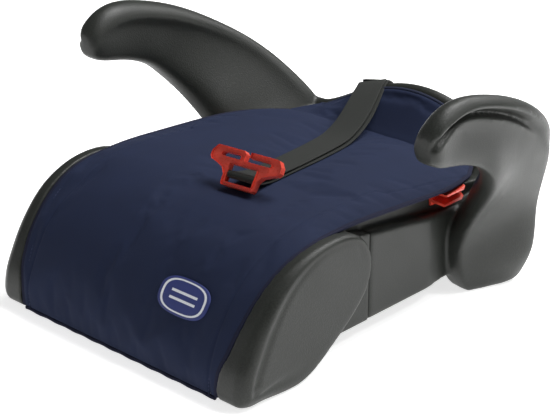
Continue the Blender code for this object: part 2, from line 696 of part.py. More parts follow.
# ---- the shoulder-belt clip ------------------------------------------------------------------
def clip_outlines():
    """The clip in its own plane, u along its bar and w up, with the bar's centre at (0, 0).

    The right wing is a hook that opens at the gap. The left wing closes round its slot.
    """
    right = [
        (0.0165, -0.0018), (0.0180, 0.0000), (0.0185, 0.0080), (0.0225, 0.0135), (0.0300, 0.0165),
        (0.0365, 0.0185), (0.0385, 0.0215), (0.0382, 0.0265), (0.0340, 0.0320), (0.0320, 0.0325),
        (0.0035, 0.0325), (0.0030, 0.0320), (0.0030, 0.0275), (0.0260, 0.0275), (0.0275, 0.0260),
        (0.0275, 0.0248), (0.0260, 0.0235), (0.0030, 0.0235),
    ]
    left = [
        (-0.0020, 0.0230), (-0.0020, 0.0300), (-0.0045, 0.0325), (-0.0320, 0.0325), (-0.0340, 0.0320),
        (-0.0382, 0.0265), (-0.0385, 0.0215), (-0.0365, 0.0185), (-0.0300, 0.0165), (-0.0225, 0.0135),
        (-0.0185, 0.0080), (-0.0180, 0.0000), (-0.0165, -0.0018),
    ]
    slot = [(-0.0260, 0.0235), (-0.0070, 0.0235), (-0.0060, 0.0245), (-0.0060, 0.0265), (-0.0070, 0.0275),
            (-0.0260, 0.0275), (-0.0275, 0.0260), (-0.0275, 0.0248)]
    window = [(-0.0149, 0.0018), (0.0149, 0.0018), (0.0153, 0.0185), (-0.0153, 0.0185)]
    return right + left, slot, window


def prism(name, outline, thickness):
    """An outline in a plane, as a solid that reaches half its thickness to each side."""
    rings = [[(u, w, level) for u, w in outline] for level in (-thickness / 2, thickness / 2)]
    return loft(name, rings)


def make_clip(mats, clip_hinge, parts, cutters):
    """The clip's plate, cut for the slot and the window and joined to the pin across the window."""
    outline, slot, window = clip_outlines()
    place = clip_frame() @ Matrix.Translation((0, -PIN_W, 0))
    clip = add("shoulder_clip", prism("shoulder_clip", outline, CLIP_THICK), mats["red"], clip_hinge, parts)
    clip.matrix_local = place
    bm = bmesh.new()
    turn = Matrix.Translation((0, PIN_W, 0)) @ Matrix.Rotation(math.radians(90), 4, "Y")
    bmesh.ops.create_cone(bm, segments=16, radius1=PIN_R, radius2=PIN_R, depth=PIN_LENGTH, cap_ends=True,
                          matrix=turn)
    tools = (
        (prism("clip_slot", slot, 2 * CLIP_THICK), "DIFFERENCE"),
        (prism("clip_window", window, 2 * CLIP_THICK), "DIFFERENCE"),
        (mesh_from(bm, "clip_pin"), "UNION"),
    )
    for mesh, operation in tools:
        tool = as_cutter(add(mesh.name, mesh, None, clip_hinge, cutters))
        tool.matrix_local = place
        boolean(clip, tool, operation)


def clip_frame():
    """Turns the clip's (u, w) plane into its place: yawed, and leaning back."""
    yaw = Matrix.Rotation(CLIP_YAW, 4, "Z")
    return yaw @ Matrix.Rotation(CLIP_TILT, 4, "X")


# ---- lap-belt guides -------------------------------------------------------------------------
# Places along a guide (Y), and how much of its reach it has there.
GUIDE_RUN = ((0.2740, 1.0), (0.2980, 1.0), (0.3060, 0.75), (0.3100, 0.40))
GUIDE_INNER = 0.1268      # the guide's web stands just off the shell's core
GUIDE_THICK = 0.0022
GUIDE_LOW, GUIDE_MOUTH, GUIDE_HIGH = 0.0925, 0.0965, 0.1074
GUIDE_SCREW_Z = 0.1020
GUIDE_SCREWS = ((0.2820, "front"), (0.2980, "rear"))
GUIDE_SCREW_HEAD = (0.0020, 0.0015, 0.0014)


def make_guide(side, mats, root, parts):
    """A C-shaped guide under the armrest, open outward, with two screws through its web."""
    name = "belt_guide_left" if side < 0 else "belt_guide_right"
    x0, thick = GUIDE_INNER, GUIDE_THICK
    low, mouth, high = GUIDE_LOW, GUIDE_MOUTH, GUIDE_HIGH
    outline = [
        (x0, low), (x0 + thick, low), (x0 + thick, mouth), (0.1440, mouth - 0.0010),
        (0.1460, mouth + 0.0002), (0.1440, mouth + 0.0014), (x0 + 0.0034, mouth + thick),
        (x0 + thick, mouth + 0.0034), (x0 + thick, high - 0.0034), (x0 + 0.0034, high - thick),
        (0.1460, high - 0.0018), (0.1480, high - 0.0008), (0.1460, high), (x0 + 0.0020, high),
        (x0, high - 0.0020),
    ]
    web = x0 + 0.0034
    rings = []
    for y, reach in GUIDE_RUN:
        rings.append([(side * (x if x <= web else web + (x - web) * reach), y, z) for x, z in outline])
    add(name, loft(name, rings), mats["red"], root, parts)
    for y, word in GUIDE_SCREWS:
        screw = "guide_screw_" + ("left_" if side < 0 else "right_") + word
        place = (side * (x0 + thick + GAP + GUIDE_SCREW_HEAD[2] / 2), y, GUIDE_SCREW_Z)
        screw_head(screw, GUIDE_SCREW_HEAD, place, (0, math.radians(side * 90), 0), mats, root, parts)


# ---- main ------------------------------------------------------------------------------------
def empty(name, location, parent, group):
    e = bpy.data.objects.new(name, None)
    group.objects.link(e)
    e.parent = parent
    e.location = location
    return e


def main():
    for ob in list(bpy.data.objects):
        bpy.data.objects.remove(ob, do_unlink=True)
    parts = collection("booster_seat")
    cutters = collection("cutters")
    cutters.hide_render = True

    mats = {
        "shell": material("shell_plastic", (0.060, 0.068, 0.060), 0.45),
        "fabric": material("navy_fabric", (0.020, 0.030, 0.090), 0.95),
        "binding": material("dark_binding", (0.012, 0.016, 0.040), 0.95),
        "foam": material("pale_foam", (0.700, 0.680, 0.600), 0.95),
        "label": material("blue_patch", (0.030, 0.070, 0.400), 0.60),
        "webbing": material("grey_webbing", (0.065, 0.068, 0.055), 0.90),
        "red": material("red_plastic", (0.620, 0.045, 0.025), 0.35),
        "keeper": material("black_plastic", (0.020, 0.020, 0.020), 0.40),
        "steel": material("zinc_steel", (0.550, 0.550, 0.560), 0.35, 1.0),
    }

    root = empty("front_datum", (0.0, -DATUM_Y, 0.0), None, parts)
    strap_hinge = empty("strap_hinge", (FOLD_X, HINGE_Y, fold_level() + HINGE_RISE), root, parts)
    pin = CLIP_BAR + clip_frame().to_3x3() @ Vector((0, PIN_W, 0))
    clip_hinge = empty("clip_hinge", pin - strap_hinge.location, strap_hinge, parts)
    keeper_at = empty("keeper_slide", (FOLD_X - 0.0065, REAR_RUN_Y, 0.0950), root, parts)

    make_shell(mats, root, parts, cutters)
    clearance = make_cover_clearance(root, cutters)
    for side in (-1, 1):
        make_cheek(side, mats, root, parts, cutters, clearance)
        make_guide(side, mats, root, parts)
    make_cover(mats, root, parts)
    make_strap(mats, strap_hinge, clip_hinge, root, parts)
    make_rear_hardware(mats, root, keeper_at, parts)
    make_clip(mats, clip_hinge, parts, cutters)


main()
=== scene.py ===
import math

import bmesh
import bpy
from mathutils import Matrix, Vector


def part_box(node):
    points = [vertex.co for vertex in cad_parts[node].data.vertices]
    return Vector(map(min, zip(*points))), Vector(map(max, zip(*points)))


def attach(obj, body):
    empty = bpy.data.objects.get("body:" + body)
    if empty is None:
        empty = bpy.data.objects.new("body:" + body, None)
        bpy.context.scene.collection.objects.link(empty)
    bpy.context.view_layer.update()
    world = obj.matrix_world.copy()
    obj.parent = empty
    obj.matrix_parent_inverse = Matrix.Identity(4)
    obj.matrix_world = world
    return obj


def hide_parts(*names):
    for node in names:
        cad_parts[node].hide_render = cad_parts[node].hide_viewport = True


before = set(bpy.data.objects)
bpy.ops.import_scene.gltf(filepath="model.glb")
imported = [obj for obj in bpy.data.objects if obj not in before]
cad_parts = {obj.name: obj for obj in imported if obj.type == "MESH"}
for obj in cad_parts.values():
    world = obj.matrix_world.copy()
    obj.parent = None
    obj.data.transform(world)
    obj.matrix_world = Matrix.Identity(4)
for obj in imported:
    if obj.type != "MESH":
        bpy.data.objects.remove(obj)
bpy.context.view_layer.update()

# ---- driving dimensions, in metres, in the seat's own datum ----
# X = 0 on the plane of symmetry, Y = 0 at the cover's foot in front, Z = 0 on the floor.
REAR_Y = 0.412
DATUM_Y = REAR_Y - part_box("seat_shell")[1][1]

# The low back wall: heights of its hump and its valleys, and where they are across the seat.
WALL_TOP, VALLEY_TOP, VALLEY_X, HUMP_X = 0.15, 0.106, 0.13, 0.016
CORE_HALF, SEAT_HALF = 0.1262, 0.14  # half widths of the core and of the wall behind a cheek
SEAM_Y, PANEL_BOTTOM = 0.176, 0.016  # a cheek's rear end, and the foot of the wall behind it
GAP = 0.0004  # the clearance between neighbouring pieces
HEM_R = 0.0018
COVER_THICK = 0.002
CROWN = 0.004  # the cover's middle stands this far above its sides
STRAP_WIDTH, STRAP_THICK = 0.029, 0.0014
FOLD_X, FOLD_TILT = -0.044, 0.2  # where the strap goes over the wall, and its slope there
REAR_RUN_Y, LOW_RUN_Y = 0.4162, 0.4142  # the strap's middle behind the wall, above and below
CLIP_BAR = Vector((0.0325, 0.1219, 0.1292))
CLIP_TILT, CLIP_YAW = math.radians(55), math.radians(6)
PIN_W = 0.0095  # the clip's pin lies this far up its face from CLIP_BAR
LOOP_R = 0.0028  # the strap's loop round that pin
LABEL_X, LABEL_WIDTH, LABEL_Z = 0.0685, 0.057, (0.057, 0.084)
LABEL_HALF = (LABEL_WIDTH / 2, 0.016)
LABEL_POWER = 2.8  # the exponent of the patch's rounded oblong

# The cover's middle line in side view (Y, Z), from the floor in front to the crease.
PROFILE = [
    (0.0, 0.0055), (0.0004, 0.025), (0.006, 0.043), (0.018, 0.065), (0.036, 0.087),
    (0.052, 0.1), (0.068, 0.109), (0.086, 0.115), (0.108, 0.1185), (0.15, 0.1203),
    (0.2, 0.118), (0.25, 0.115), (0.3, 0.1115), (0.33, 0.1085), (0.35, 0.1065),
]
# The cover's half width against Y.
COVER_HALF = [
    (0.0, 0.1266), (0.006, 0.133), (0.02, 0.137), (0.05, 0.141), (0.085, 0.144),
    (0.15, 0.1455), (0.25, 0.1475), (0.28, 0.1465), (0.3, 0.143), (0.325, 0.135),
    (0.35, 0.119),
]


# ---- small helpers ----
def catmull(a, b, c, d, t):
    """The point at t between b and c of a smooth curve through four values."""
    return 0.5 * (2 * b + (c - a) * t + (2 * a - 5 * b + 4 * c - d) * t * t
                  + (3 * b - a - 3 * c + d) * t * t * t)


def smooth(points, steps, closed=False):
    """A list of tuples with steps spans in each gap, on a smooth curve through them."""
    count = len(points)
    out = []
    for i in range(count if closed else count - 1):
        if closed:
            four = [points[(i + k) % count] for k in (-1, 0, 1, 2)]
        else:
            four = [points[min(max(i + k, 0), count - 1)] for k in (-1, 0, 1, 2)]
        for j in range(steps):
            out.append(tuple(catmull(*v, j / steps) for v in zip(*four)))
    if not closed:
        out.append(tuple(points[-1]))
    return out


def lookup(table, x):
    """Linear interpolation in a list of (x, value)."""
    if x <= table[0][0]:
        return table[0][1]
    for (x0, v0), (x1, v1) in zip(table, table[1:]):
        if x <= x1:
            return v0 + (v1 - v0) * (x - x0) / (x1 - x0)
    return table[-1][1]


def resample(points, count):
    """count points evenly spaced along a polyline."""
    lengths = [0.0]
    for p, q in zip(points, points[1:]):
        lengths.append(lengths[-1] + math.dist(p, q))
    out = []
    for i in range(count):
        s = lengths[-1] * i / (count - 1)
        out.append(tuple(lookup(list(zip(lengths, axis)), s) for axis in zip(*points)))
    return out


def normals(points):
    """The unit normal, on the left of the direction of travel, at each point of a 2D polyline."""
    out = []
    for i in range(len(points)):
        p, q = points[max(i - 1, 0)], points[min(i + 1, len(points) - 1)]
        run = Vector((q[0] - p[0], q[1] - p[1])).normalized()
        out.append(Vector((-run.y, run.x)))
    return out


def smoothstep(low, high, x):
    """From 0 at low to 1 at high, with level ends."""
    t = min(1.0, max(0.0, (x - low) / (high - low)))
    return t * t * (3 - 2 * t)


def make_object(bm, name, mat, angle=60, closed=True):
    """A mesh in the seat's datum becomes an object in the row frame."""
    if closed:
        bmesh.ops.recalc_face_normals(bm, faces=bm.faces)
    bmesh.ops.translate(bm, verts=bm.verts, vec=(0, -DATUM_Y, 0))
    me = bpy.data.meshes.new(name)
    bm.to_mesh(me)
    bm.free()
    me.shade_smooth()
    me.set_sharp_from_angle(angle=math.radians(angle))
    ob = bpy.data.objects.new(name, me)
    bpy.context.scene.collection.objects.link(ob)
    if mat:
        me.materials.append(mat)
    return ob


ROUND_SPANS = 2  # spans at the start of a creased solid that stay free of creases


def loft_into(bm, rings, creases=None):
    """Adds a closed solid through rings of points; creases: {point index: value}."""
    rows = [[bm.verts.new(p) for p in ring] for ring in rings]
    for lower, upper in zip(rows, rows[1:]):
        for i in range(len(lower)):
            j = (i + 1) % len(lower)
            bm.faces.new((lower[i], lower[j], upper[j], upper[i]))
    bm.faces.new(rows[0][::-1])
    bm.faces.new(rows[-1])
    if creases:
        layer = bm.edges.layers.float.get("crease_edge") or bm.edges.layers.float.new("crease_edge")
        for lower, upper in list(zip(rows, rows[1:]))[ROUND_SPANS:]:
            for i, value in creases.items():
                edge = bm.edges.get((lower[i], upper[i]))
                edge[layer] = value


def grid_into(bm, rows, uv_rows=None):
    """Adds an open sheet through rows of points, with a UV map in metres if uv_rows are given."""
    grid = [[bm.verts.new(p) for p in row] for row in rows]
    layer = bm.loops.layers.uv.verify() if uv_rows else None
    for r in range(len(grid) - 1):
        for c in range(len(grid[0]) - 1):
            corners = ((r, c), (r, c + 1), (r + 1, c + 1), (r + 1, c))
            face = bm.faces.new([grid[i][j] for i, j in corners])
            if uv_rows:
                for loop, (i, j) in zip(face.loops, corners):
                    loop[layer].uv = uv_rows[i][j]


def modifier(ob, kind, **values):
    m = ob.modifiers.new(kind.title(), kind)
    for key, value in values.items():
        setattr(m, key, value)
    return m


def apply_all(ob):
    """Replaces the object's mesh with what its modifiers make of it."""
    bpy.context.view_layer.update()
    graph = bpy.context.evaluated_depsgraph_get()
    me = bpy.data.meshes.new_from_object(ob.evaluated_get(graph), depsgraph=graph)
    ob.modifiers.clear()
    ob.data = me
    return me


# ---- materials ----
class Nodes:
    """A material's node tree, with short names for what is used often."""

    def __init__(self, name, colour, roughness, metallic=0.0):
        self.mat = bpy.data.materials.new(name)
        self.mat.use_nodes = True
        self.tree = self.mat.node_tree
        self.shader = self.tree.nodes["Principled BSDF"]
        self.shader.inputs["Base Color"].default_value = (*colour, 1)
        self.shader.inputs["Roughness"].default_value = roughness
        self.shader.inputs["Metallic"].default_value = metallic
        self.coord = self.tree.nodes.new("ShaderNodeTexCoord")

    def plug(self, socket, value):
        if isinstance(value, bpy.types.NodeSocket):
            self.tree.links.new(value, socket)
        else:
            socket.default_value = value

    def node(self, kind, inputs=None, **values):
        n = self.tree.nodes.new(kind)
        for key, value in values.items():
            setattr(n, key, value)
        for key, value in (inputs or {}).items():
            self.plug(n.inputs[key], value)
        return n

    def noise(self, scale, detail=3.0, vector=None):
        where = vector or self.coord.outputs["Object"]
        n = self.node("ShaderNodeTexNoise", {"Vector": where, "Scale": scale, "Detail": detail,
                                             "Roughness": 0.55})
        return n.outputs["Fac"]

    def cells(self, scale):
        where = self.coord.outputs["Object"]
        n = self.node("ShaderNodeTexVoronoi", {"Vector": where, "Scale": scale})
        return n.outputs["Distance"]

    def math(self, operation, a, b=0.0):
        n = self.node("ShaderNodeMath", {0: a, 1: b}, operation=operation)
        return n.outputs[0]

    def wave(self, value, pitch):
        """The sine of value, with one wave in each pitch."""
        return self.math("SINE", self.math("MULTIPLY", value, 2 * math.pi / pitch))

    def ramp(self, value, low, high, a, b):
        """value between low and high becomes a to b."""
        n = self.node("ShaderNodeMapRange", {"Value": value, "From Min": low, "From Max": high,
                                             "To Min": a, "To Max": b})
        return n.outputs[0]

    def mix(self, factor, a, b):
        n = self.node("ShaderNodeMix", data_type="RGBA")
        self.plug(n.inputs[0], factor)
        self.plug(n.inputs[6], a if isinstance(a, bpy.types.NodeSocket) else (*a, 1))
        self.plug(n.inputs[7], b if isinstance(b, bpy.types.NodeSocket) else (*b, 1))
        return n.outputs[2]

    def tint(self, value, low, high, dark, light):
        """value between low and high becomes a colour between dark and light."""
        return self.mix(self.ramp(value, low, high, 0.0, 1.0), dark, light)

    def colour(self, value):
        self.plug(self.shader.inputs["Base Color"], value)

    def roughness(self, value):
        self.plug(self.shader.inputs["Roughness"], value)

    def bump(self, height, strength, distance, under=None):
        inputs = {"Height": height, "Strength": strength, "Distance": distance}
        if under:
            inputs["Normal"] = under
        n = self.node("ShaderNodeBump", inputs)
        self.plug(self.shader.inputs["Normal"], n.outputs[0])
        return n.outputs[0]

    def stretched(self, scale):
        n = self.node("ShaderNodeMapping", {"Vector": self.coord.outputs["Object"], "Scale": scale})
        return n.outputs[0]

    def uv(self):
        split = self.node("ShaderNodeSeparateXYZ", {0: self.coord.outputs["UV"]})
        return split.outputs[0], split.outputs[1]


def shell_plastic():
    """Charcoal moulded plastic with a fine leather grain, and a painted highlight that makes its
    edges a little paler.
    """
    m = Nodes("shell_plastic", (0.016, 0.018, 0.016), 0.42)
    m.shader.inputs["Specular IOR Level"].default_value = 0.33
    grain = m.cells(760.0)
    fine = m.noise(2200.0, 2.0)
    cloudy = m.noise(22.0, 4.0)
    # Painted highlight: convex edges, found by pointiness, are mixed towards a paler colour as if
    # they caught the light.
    edge = m.node("ShaderNodeNewGeometry").outputs["Pointiness"]
    painted_edge_highlight = m.ramp(edge, 0.505, 0.545, 0.0, 1.0)
    base = m.tint(cloudy, 0.35, 0.65, (0.013, 0.0155, 0.013), (0.02, 0.022, 0.019))
    speck = m.tint(grain, 0.15, 0.75, base, (0.026, 0.028, 0.025))
    m.colour(m.mix(m.math("MULTIPLY", painted_edge_highlight, 0.35), speck, (0.045, 0.048, 0.043)))
    patchy = m.math("ADD", cloudy, m.math("MULTIPLY", grain, 0.35))
    m.roughness(m.ramp(patchy, 0.4, 0.95, 0.34, 0.5))
    streaks = m.noise(1.0, 2.0, vector=m.stretched((260.0, 260.0, 1400.0)))
    first = m.bump(m.math("ADD", grain, m.math("MULTIPLY", fine, 0.5)), 0.32, 0.00035)
    m.bump(streaks, 0.1, 0.0003, under=first)
    return m.mat


def woven(name, dark, light, pitch, strength, sheen):
    """Cloth woven at a pitch in metres over a UV map in metres; with an empty map it is plain."""
    m = Nodes(name, dark, 0.88)
    u, v = m.uv()
    over = m.math("MULTIPLY", m.wave(u, pitch), m.wave(v, pitch))
    thread = m.ramp(over, -1.0, 1.0, 0.0, 1.0)
    fuzz = m.noise(1500.0, 3.0)
    blotch = m.noise(35.0, 4.0)
    height = m.math("ADD", thread, m.math("MULTIPLY", fuzz, 0.6))
    yarn = m.tint(height, 0.3, 1.3, dark, light)
    m.colour(m.mix(m.ramp(blotch, 0.3, 0.7, 0.0, 0.25), yarn, light))
    m.roughness(m.ramp(fuzz, 0.3, 0.7, 0.8, 0.95))
    m.shader.inputs["Sheen Weight"].default_value = sheen
    m.shader.inputs["Sheen Roughness"].default_value = 0.45
    m.shader.inputs["Sheen Tint"].default_value = (*[min(1.0, 4 * c) for c in light], 1)
    m.shader.inputs["Specular IOR Level"].default_value = 0.25
    m.bump(height, strength, 0.0003)
    return m.mat


FUZZ_RANGE = (-0.0012, 1.5988)


def webbing_cloth():
    """Grey polyester webbing, as a fine fuzz without ribs."""
    m = Nodes("grey_webbing", (0.075, 0.078, 0.062), 0.8)
    fuzz = m.noise(1800.0, 3.0)
    m.colour(m.tint(fuzz, *FUZZ_RANGE, (0.01, 0.0115, 0.01), (0.032, 0.035, 0.031)))
    m.roughness(m.ramp(fuzz, 0.3, 0.7, 0.62, 0.85))
    m.shader.inputs["Sheen Weight"].default_value = 0.05
    m.shader.inputs["Specular IOR Level"].default_value = 0.25
    m.bump(fuzz, 0.8, 0.0005)
    return m.mat


def red_plastic():
    """Glossy red-orange plastic, faintly uneven, darker where it is thick."""
    m = Nodes("red_plastic", (0.62, 0.05, 0.022), 0.3)
    cloudy = m.noise(120.0, 3.0)
    m.colour(m.tint(cloudy, 0.3, 0.7, (0.66, 0.06, 0.036), (0.76, 0.082, 0.05)))
    m.roughness(m.ramp(m.noise(600.0, 3.0), 0.3, 0.7, 0.24, 0.38))
    m.shader.inputs["Subsurface Weight"].default_value = 0.08
    m.shader.inputs["Subsurface Radius"].default_value = (0.004, 0.001, 0.0005)
    m.bump(m.noise(900.0, 2.0), 0.06, 0.0002)
    return m.mat


def black_plastic():
    """Near-black moulded plastic with a fine grain."""
    m = Nodes("black_plastic", (0.018, 0.018, 0.019), 0.38)
    grain = m.cells(1100.0)
    m.colour(m.tint(grain, 0.2, 0.8, (0.014, 0.014, 0.015), (0.028, 0.028, 0.03)))
    m.roughness(m.ramp(m.noise(150.0), 0.3, 0.7, 0.32, 0.48))
    m.bump(grain, 0.2, 0.0002)
    return m.mat


def zinc_steel():
    """Zinc-plated steel, brushed along its length."""
    m = Nodes("zinc_steel", (0.55, 0.55, 0.56), 0.32, 1.0)
    brushed = m.noise(1.0, 3.0, vector=m.stretched((300.0, 4000.0, 300.0)))
    m.colour(m.mix(brushed, (0.42, 0.43, 0.45), (0.66, 0.66, 0.68)))
    m.roughness(m.ramp(brushed, 0.3, 0.7, 0.22, 0.42))
    m.bump(brushed, 0.1, 0.0001)
    return m.mat


def pale_foam():
    """Cream foam with open pores."""
    m = Nodes("pale_foam", (0.7, 0.68, 0.6), 0.95)
    pores = m.cells(900.0)
    m.colour(m.tint(pores, 0.0, 0.6, (0.45, 0.43, 0.37), (0.74, 0.72, 0.64)))
    m.bump(pores, 0.6, 0.0005)
    return m.mat


LABEL_LINE = (0.8, 0.885)  # the pale line on the patch, as shares of its half size
BAR_V, BAR_HALF = 0.0032, (0.015, 0.0011)


def patch_cloth():
    """A plain woven patch: a blue field, a pale line round it and two short bars across it."""
    m = Nodes("blue_patch", (0.02, 0.08, 0.42), 0.7)
    u, v = m.uv()
    across, up = m.math("ABSOLUTE", u), m.math("ABSOLUTE", v)
    shares = [m.math("DIVIDE", a, half) for a, half in zip((across, up), LABEL_HALF)]
    power = m.math("ADD", *[m.math("POWER", share, LABEL_POWER) for share in shares])
    reach = m.math("POWER", power, 1 / LABEL_POWER)
    line = m.math("MULTIPLY", m.math("GREATER_THAN", reach, LABEL_LINE[0]),
                  m.math("LESS_THAN", reach, LABEL_LINE[1]))
    off_bar = m.math("ABSOLUTE", m.math("SUBTRACT", up, BAR_V))
    bars = m.math("MULTIPLY", m.math("LESS_THAN", off_bar, BAR_HALF[1]),
                  m.math("LESS_THAN", across, BAR_HALF[0]))
    mark = m.math("MAXIMUM", line, bars)
    thread = m.wave(v, 0.0006)
    blue = m.tint(thread, -1, 1, (0.018, 0.03, 0.14), (0.034, 0.048, 0.22))
    m.colour(m.mix(mark, blue, (0.8, 0.82, 0.86)))
    m.bump(m.math("ADD", thread, m.math("MULTIPLY", mark, 2.0)), 0.25, 0.0002)
    return m.mat


def thread_cloth():
    """Navy sewing thread."""
    m = Nodes("seam_thread", (0.03, 0.04, 0.11), 0.75)
    twist = m.noise(3000.0, 2.0)
    m.colour(m.mix(twist, (0.018, 0.025, 0.07), (0.06, 0.075, 0.17)))
    m.bump(twist, 0.3, 0.0001)
    return m.mat


# ---- the seat's side view and the cover's surface ----
SIDE_COUNT = 201
SIDE = resample(smooth(PROFILE, 12), SIDE_COUNT)
SIDE_NORMALS = normals(SIDE)
SIDE_LENGTH = sum(math.dist(p, q) for p, q in zip(SIDE, SIDE[1:]))
SIDE_TOP = [(y, z) for y, z in SIDE if y > 0.09]


def wall_height(x):
    """The top of the low back wall: a hump that falls to a valley at each armrest's ridge."""
    share = min(abs(x - HUMP_X) / VALLEY_X, 1.0)
    return VALLEY_TOP + (WALL_TOP - VALLEY_TOP) * (1 - share ** 2) ** 1.5


def seat_point(share, across, out, inset=0.0):
    """A point of the cover: share along the profile, across from -1 to 1, out from its surface."""
    at = share * (SIDE_COUNT - 1)
    i = min(int(at), SIDE_COUNT - 2)
    t = at - i
    y = SIDE[i][0] * (1 - t) + SIDE[i + 1][0] * t
    z = SIDE[i][1] * (1 - t) + SIDE[i + 1][1] * t
    n = (SIDE_NORMALS[i] * (1 - t) + SIDE_NORMALS[i + 1] * t).normalized()
    half = lookup(COVER_HALF, y) - inset
    rise = CROWN * min(1.0, y / 0.06) * (1 - across * across) + out
    return half * across, y + n.x * rise, z + n.y * rise


# ---- the shell ----
# The armrest and its pillar, as sections from the free tip, back along the ridge and down to the
# rear foot. Each section lies between a point on its lower front edge and one on its ridge (Y, Z),
# then gives the places of the groove and the rim between them, and X on the outer and the inner
# side at the lower edge, the middle, the groove, the rim and the top.
ARM = [
    ((0.158, 0.19, 0.1565, 0.208), (0.55, 0.75), (0.216, 0.217, 0.217, 0.216, 0.212),
     (0.2, 0.199, 0.1995, 0.201, 0.203)),
    ((0.166, 0.184, 0.159, 0.218), (0.6, 0.78), (0.22, 0.2205, 0.221, 0.2205, 0.213),
     (0.1945, 0.194, 0.1945, 0.1965, 0.201)),
    ((0.184, 0.179, 0.176, 0.2324), (0.65, 0.78), (0.218, 0.217, 0.217, 0.222, 0.214),
     (0.1955, 0.195, 0.1955, 0.195, 0.2)),
    ((0.208, 0.174, 0.204, 0.2368), (0.72, 0.82), (0.217, 0.2115, 0.212, 0.2225, 0.2145),
     (0.1965, 0.1975, 0.1975, 0.1935, 0.1985)),
    ((0.234, 0.164, 0.244, 0.2284), (0.74, 0.84), (0.217, 0.2105, 0.2115, 0.2225, 0.2145),
     (0.195, 0.1965, 0.1965, 0.1915, 0.1965)),
    ((0.253, 0.149, 0.286, 0.2138), (0.76, 0.86), (0.2165, 0.2105, 0.212, 0.2215, 0.213),
     (0.191, 0.194, 0.1935, 0.189, 0.194)),
    ((0.27, 0.128, 0.329, 0.1905), (0.78, 0.88), (0.205, 0.208, 0.2105, 0.214, 0.2065),
     (0.176, 0.182, 0.185, 0.182, 0.186)),
    ((0.281, 0.106, 0.369, 0.16), (0.78, 0.9), (0.189, 0.201, 0.2035, 0.1965, 0.188),
     (0.156, 0.162, 0.165, 0.162, 0.166)),
    ((0.288, 0.082, 0.396, 0.1232), (0.76, 0.9), (0.171, 0.189, 0.1865, 0.169, 0.155),
     (0.142, 0.14, 0.137, 0.132, 0.136)),
    ((0.29, 0.05, 0.408, 0.09), (0.74, 0.9), (0.157, 0.179, 0.175, 0.155, 0.137),
     (0.118, 0.115, 0.113, 0.112, 0.112)),
    ((0.296, 0.02, 0.406, 0.04), (0.72, 0.88), (0.156, 0.1805, 0.172, 0.15, 0.135),
     (0.118, 0.115, 0.113, 0.112, 0.112)),
    ((0.312, -0.004, 0.3845, -0.004), (0.7, 0.85), (0.154, 0.165, 0.16, 0.143, 0.133),
     (0.125, 0.12, 0.118, 0.118, 0.118)),
]
ARM_EDGE = 0.004
# How far the inner side of the ridge lies below the outer one, as a share of a section, against
# the way along the armrest, which runs from 0 at the tip to 1 at the foot.
INNER_DROP = [(0.0, 0.1), (0.27, 0.1), (0.45, 0.06), (0.6, 0.0)]

# Points of a section whose run along the armrest stays crisp: rim, groove and lower edges.
ARM_CREASES = {0: 0.55, 3: 0.5, 4: 0.8, 5: 0.5, 8: 0.4}
# The groove under the outer rim: its depth, where along the way it sinks in and fades out, and
# how far its lower lip lies below it as a share of a section.
GROOVE_DEPTH, GROOVE_SINKS, GROOVE_FADES, LIP_BELOW = 0.0085, (-0.1, 0.08), (0.62, 0.45), 0.07
# The lip stands out by its edge all along, and by a swell that is highest at one place.
LIP_EDGE, LIP_SWELL, LIP_AT, LIP_SPREAD = 0.0008, 0.0055, 0.38, 0.1
# The pillar's inner front edge is cut off by this much, over this part of the way.
CHAMFER, CHAMFER_GROWS = 0.01, (0.45, 0.65)


def arm_rings():
    """The +X armrest's sections as rings of points, up the outer side and down the inner one."""
    rows = smooth([(*ends, *places, *outer, *inner) for ends, places, outer, inner in ARM], 2)
    rings = []
    for k, row in enumerate(rows):
        way = k / (len(rows) - 1)
        y0, z0, y1, z1, groove, rim = row[:6]
        outer, inner = row[6:11], row[11:16]
        drop = lookup(INNER_DROP, way)
        depth = GROOVE_DEPTH * smoothstep(*GROOVE_SINKS, way) * smoothstep(*GROOVE_FADES, way)
        lip = LIP_EDGE + LIP_SWELL * math.exp(-((way - LIP_AT) / LIP_SPREAD) ** 2)
        outer = (outer[0], outer[1], outer[1] + lip, outer[2] - depth, outer[3], outer[4])
        outside = (0.12, 0.5, groove - LIP_BELOW, groove, rim, 1.0)
        inside = (1.0 - drop, rim - drop, groove - drop, 0.5, 0.12)

        def at(share, x):
            return (x, y0 + (y1 - y0) * share, z0 + (z1 - z0) * share)

        ring = [at(0.0, outer[0] - ARM_EDGE)]
        ring += [at(s, x) for s, x in zip(outside, outer)]
        ring += [at(s, x) for s, x in zip(inside, inner[::-1])]
        ring.append(at(0.0, inner[0] + ARM_EDGE + CHAMFER * smoothstep(*CHAMFER_GROWS, way)))
        rings.append(ring)
    return rings


def wall_ring(x):
    """The back wall's upper part in side view, from the slope over the rim to the rear face."""
    top = wall_height(x)
    brow = max(top - 0.006, 0.095)
    return [
        (x, 0.357, 0.094), (x, 0.3752, (0.0945 + brow) / 2), (x, 0.3935, brow),
        (x, 0.3958, max(top - 0.0022, 0.0955)), (x, 0.4, max(top, 0.0957)),
        (x, 0.4055, max(top - 0.0018, 0.0956)), (x, 0.4095, max(top - 0.006, 0.095)),
        (x, REAR_Y, 0.07), (x, 0.39, 0.07),
    ]


def on_side(rings, side):
    return [[(side * x, y, z) for x, y, z in ring] for ring in rings]


# Boxes on the +X side where the finer armrest is slimmer than the CAD solid: middle and size.
TRIMS = [((0.26, 0.26, 0.23), (0.2, 0.4, 0.2)), ((0.246, 0.3625, 0.075), (0.2, 0.195, 0.25))]
SHELL_VOXEL, CHEEK_VOXEL = 0.0018, 0.0012
WALL_STEPS = 72


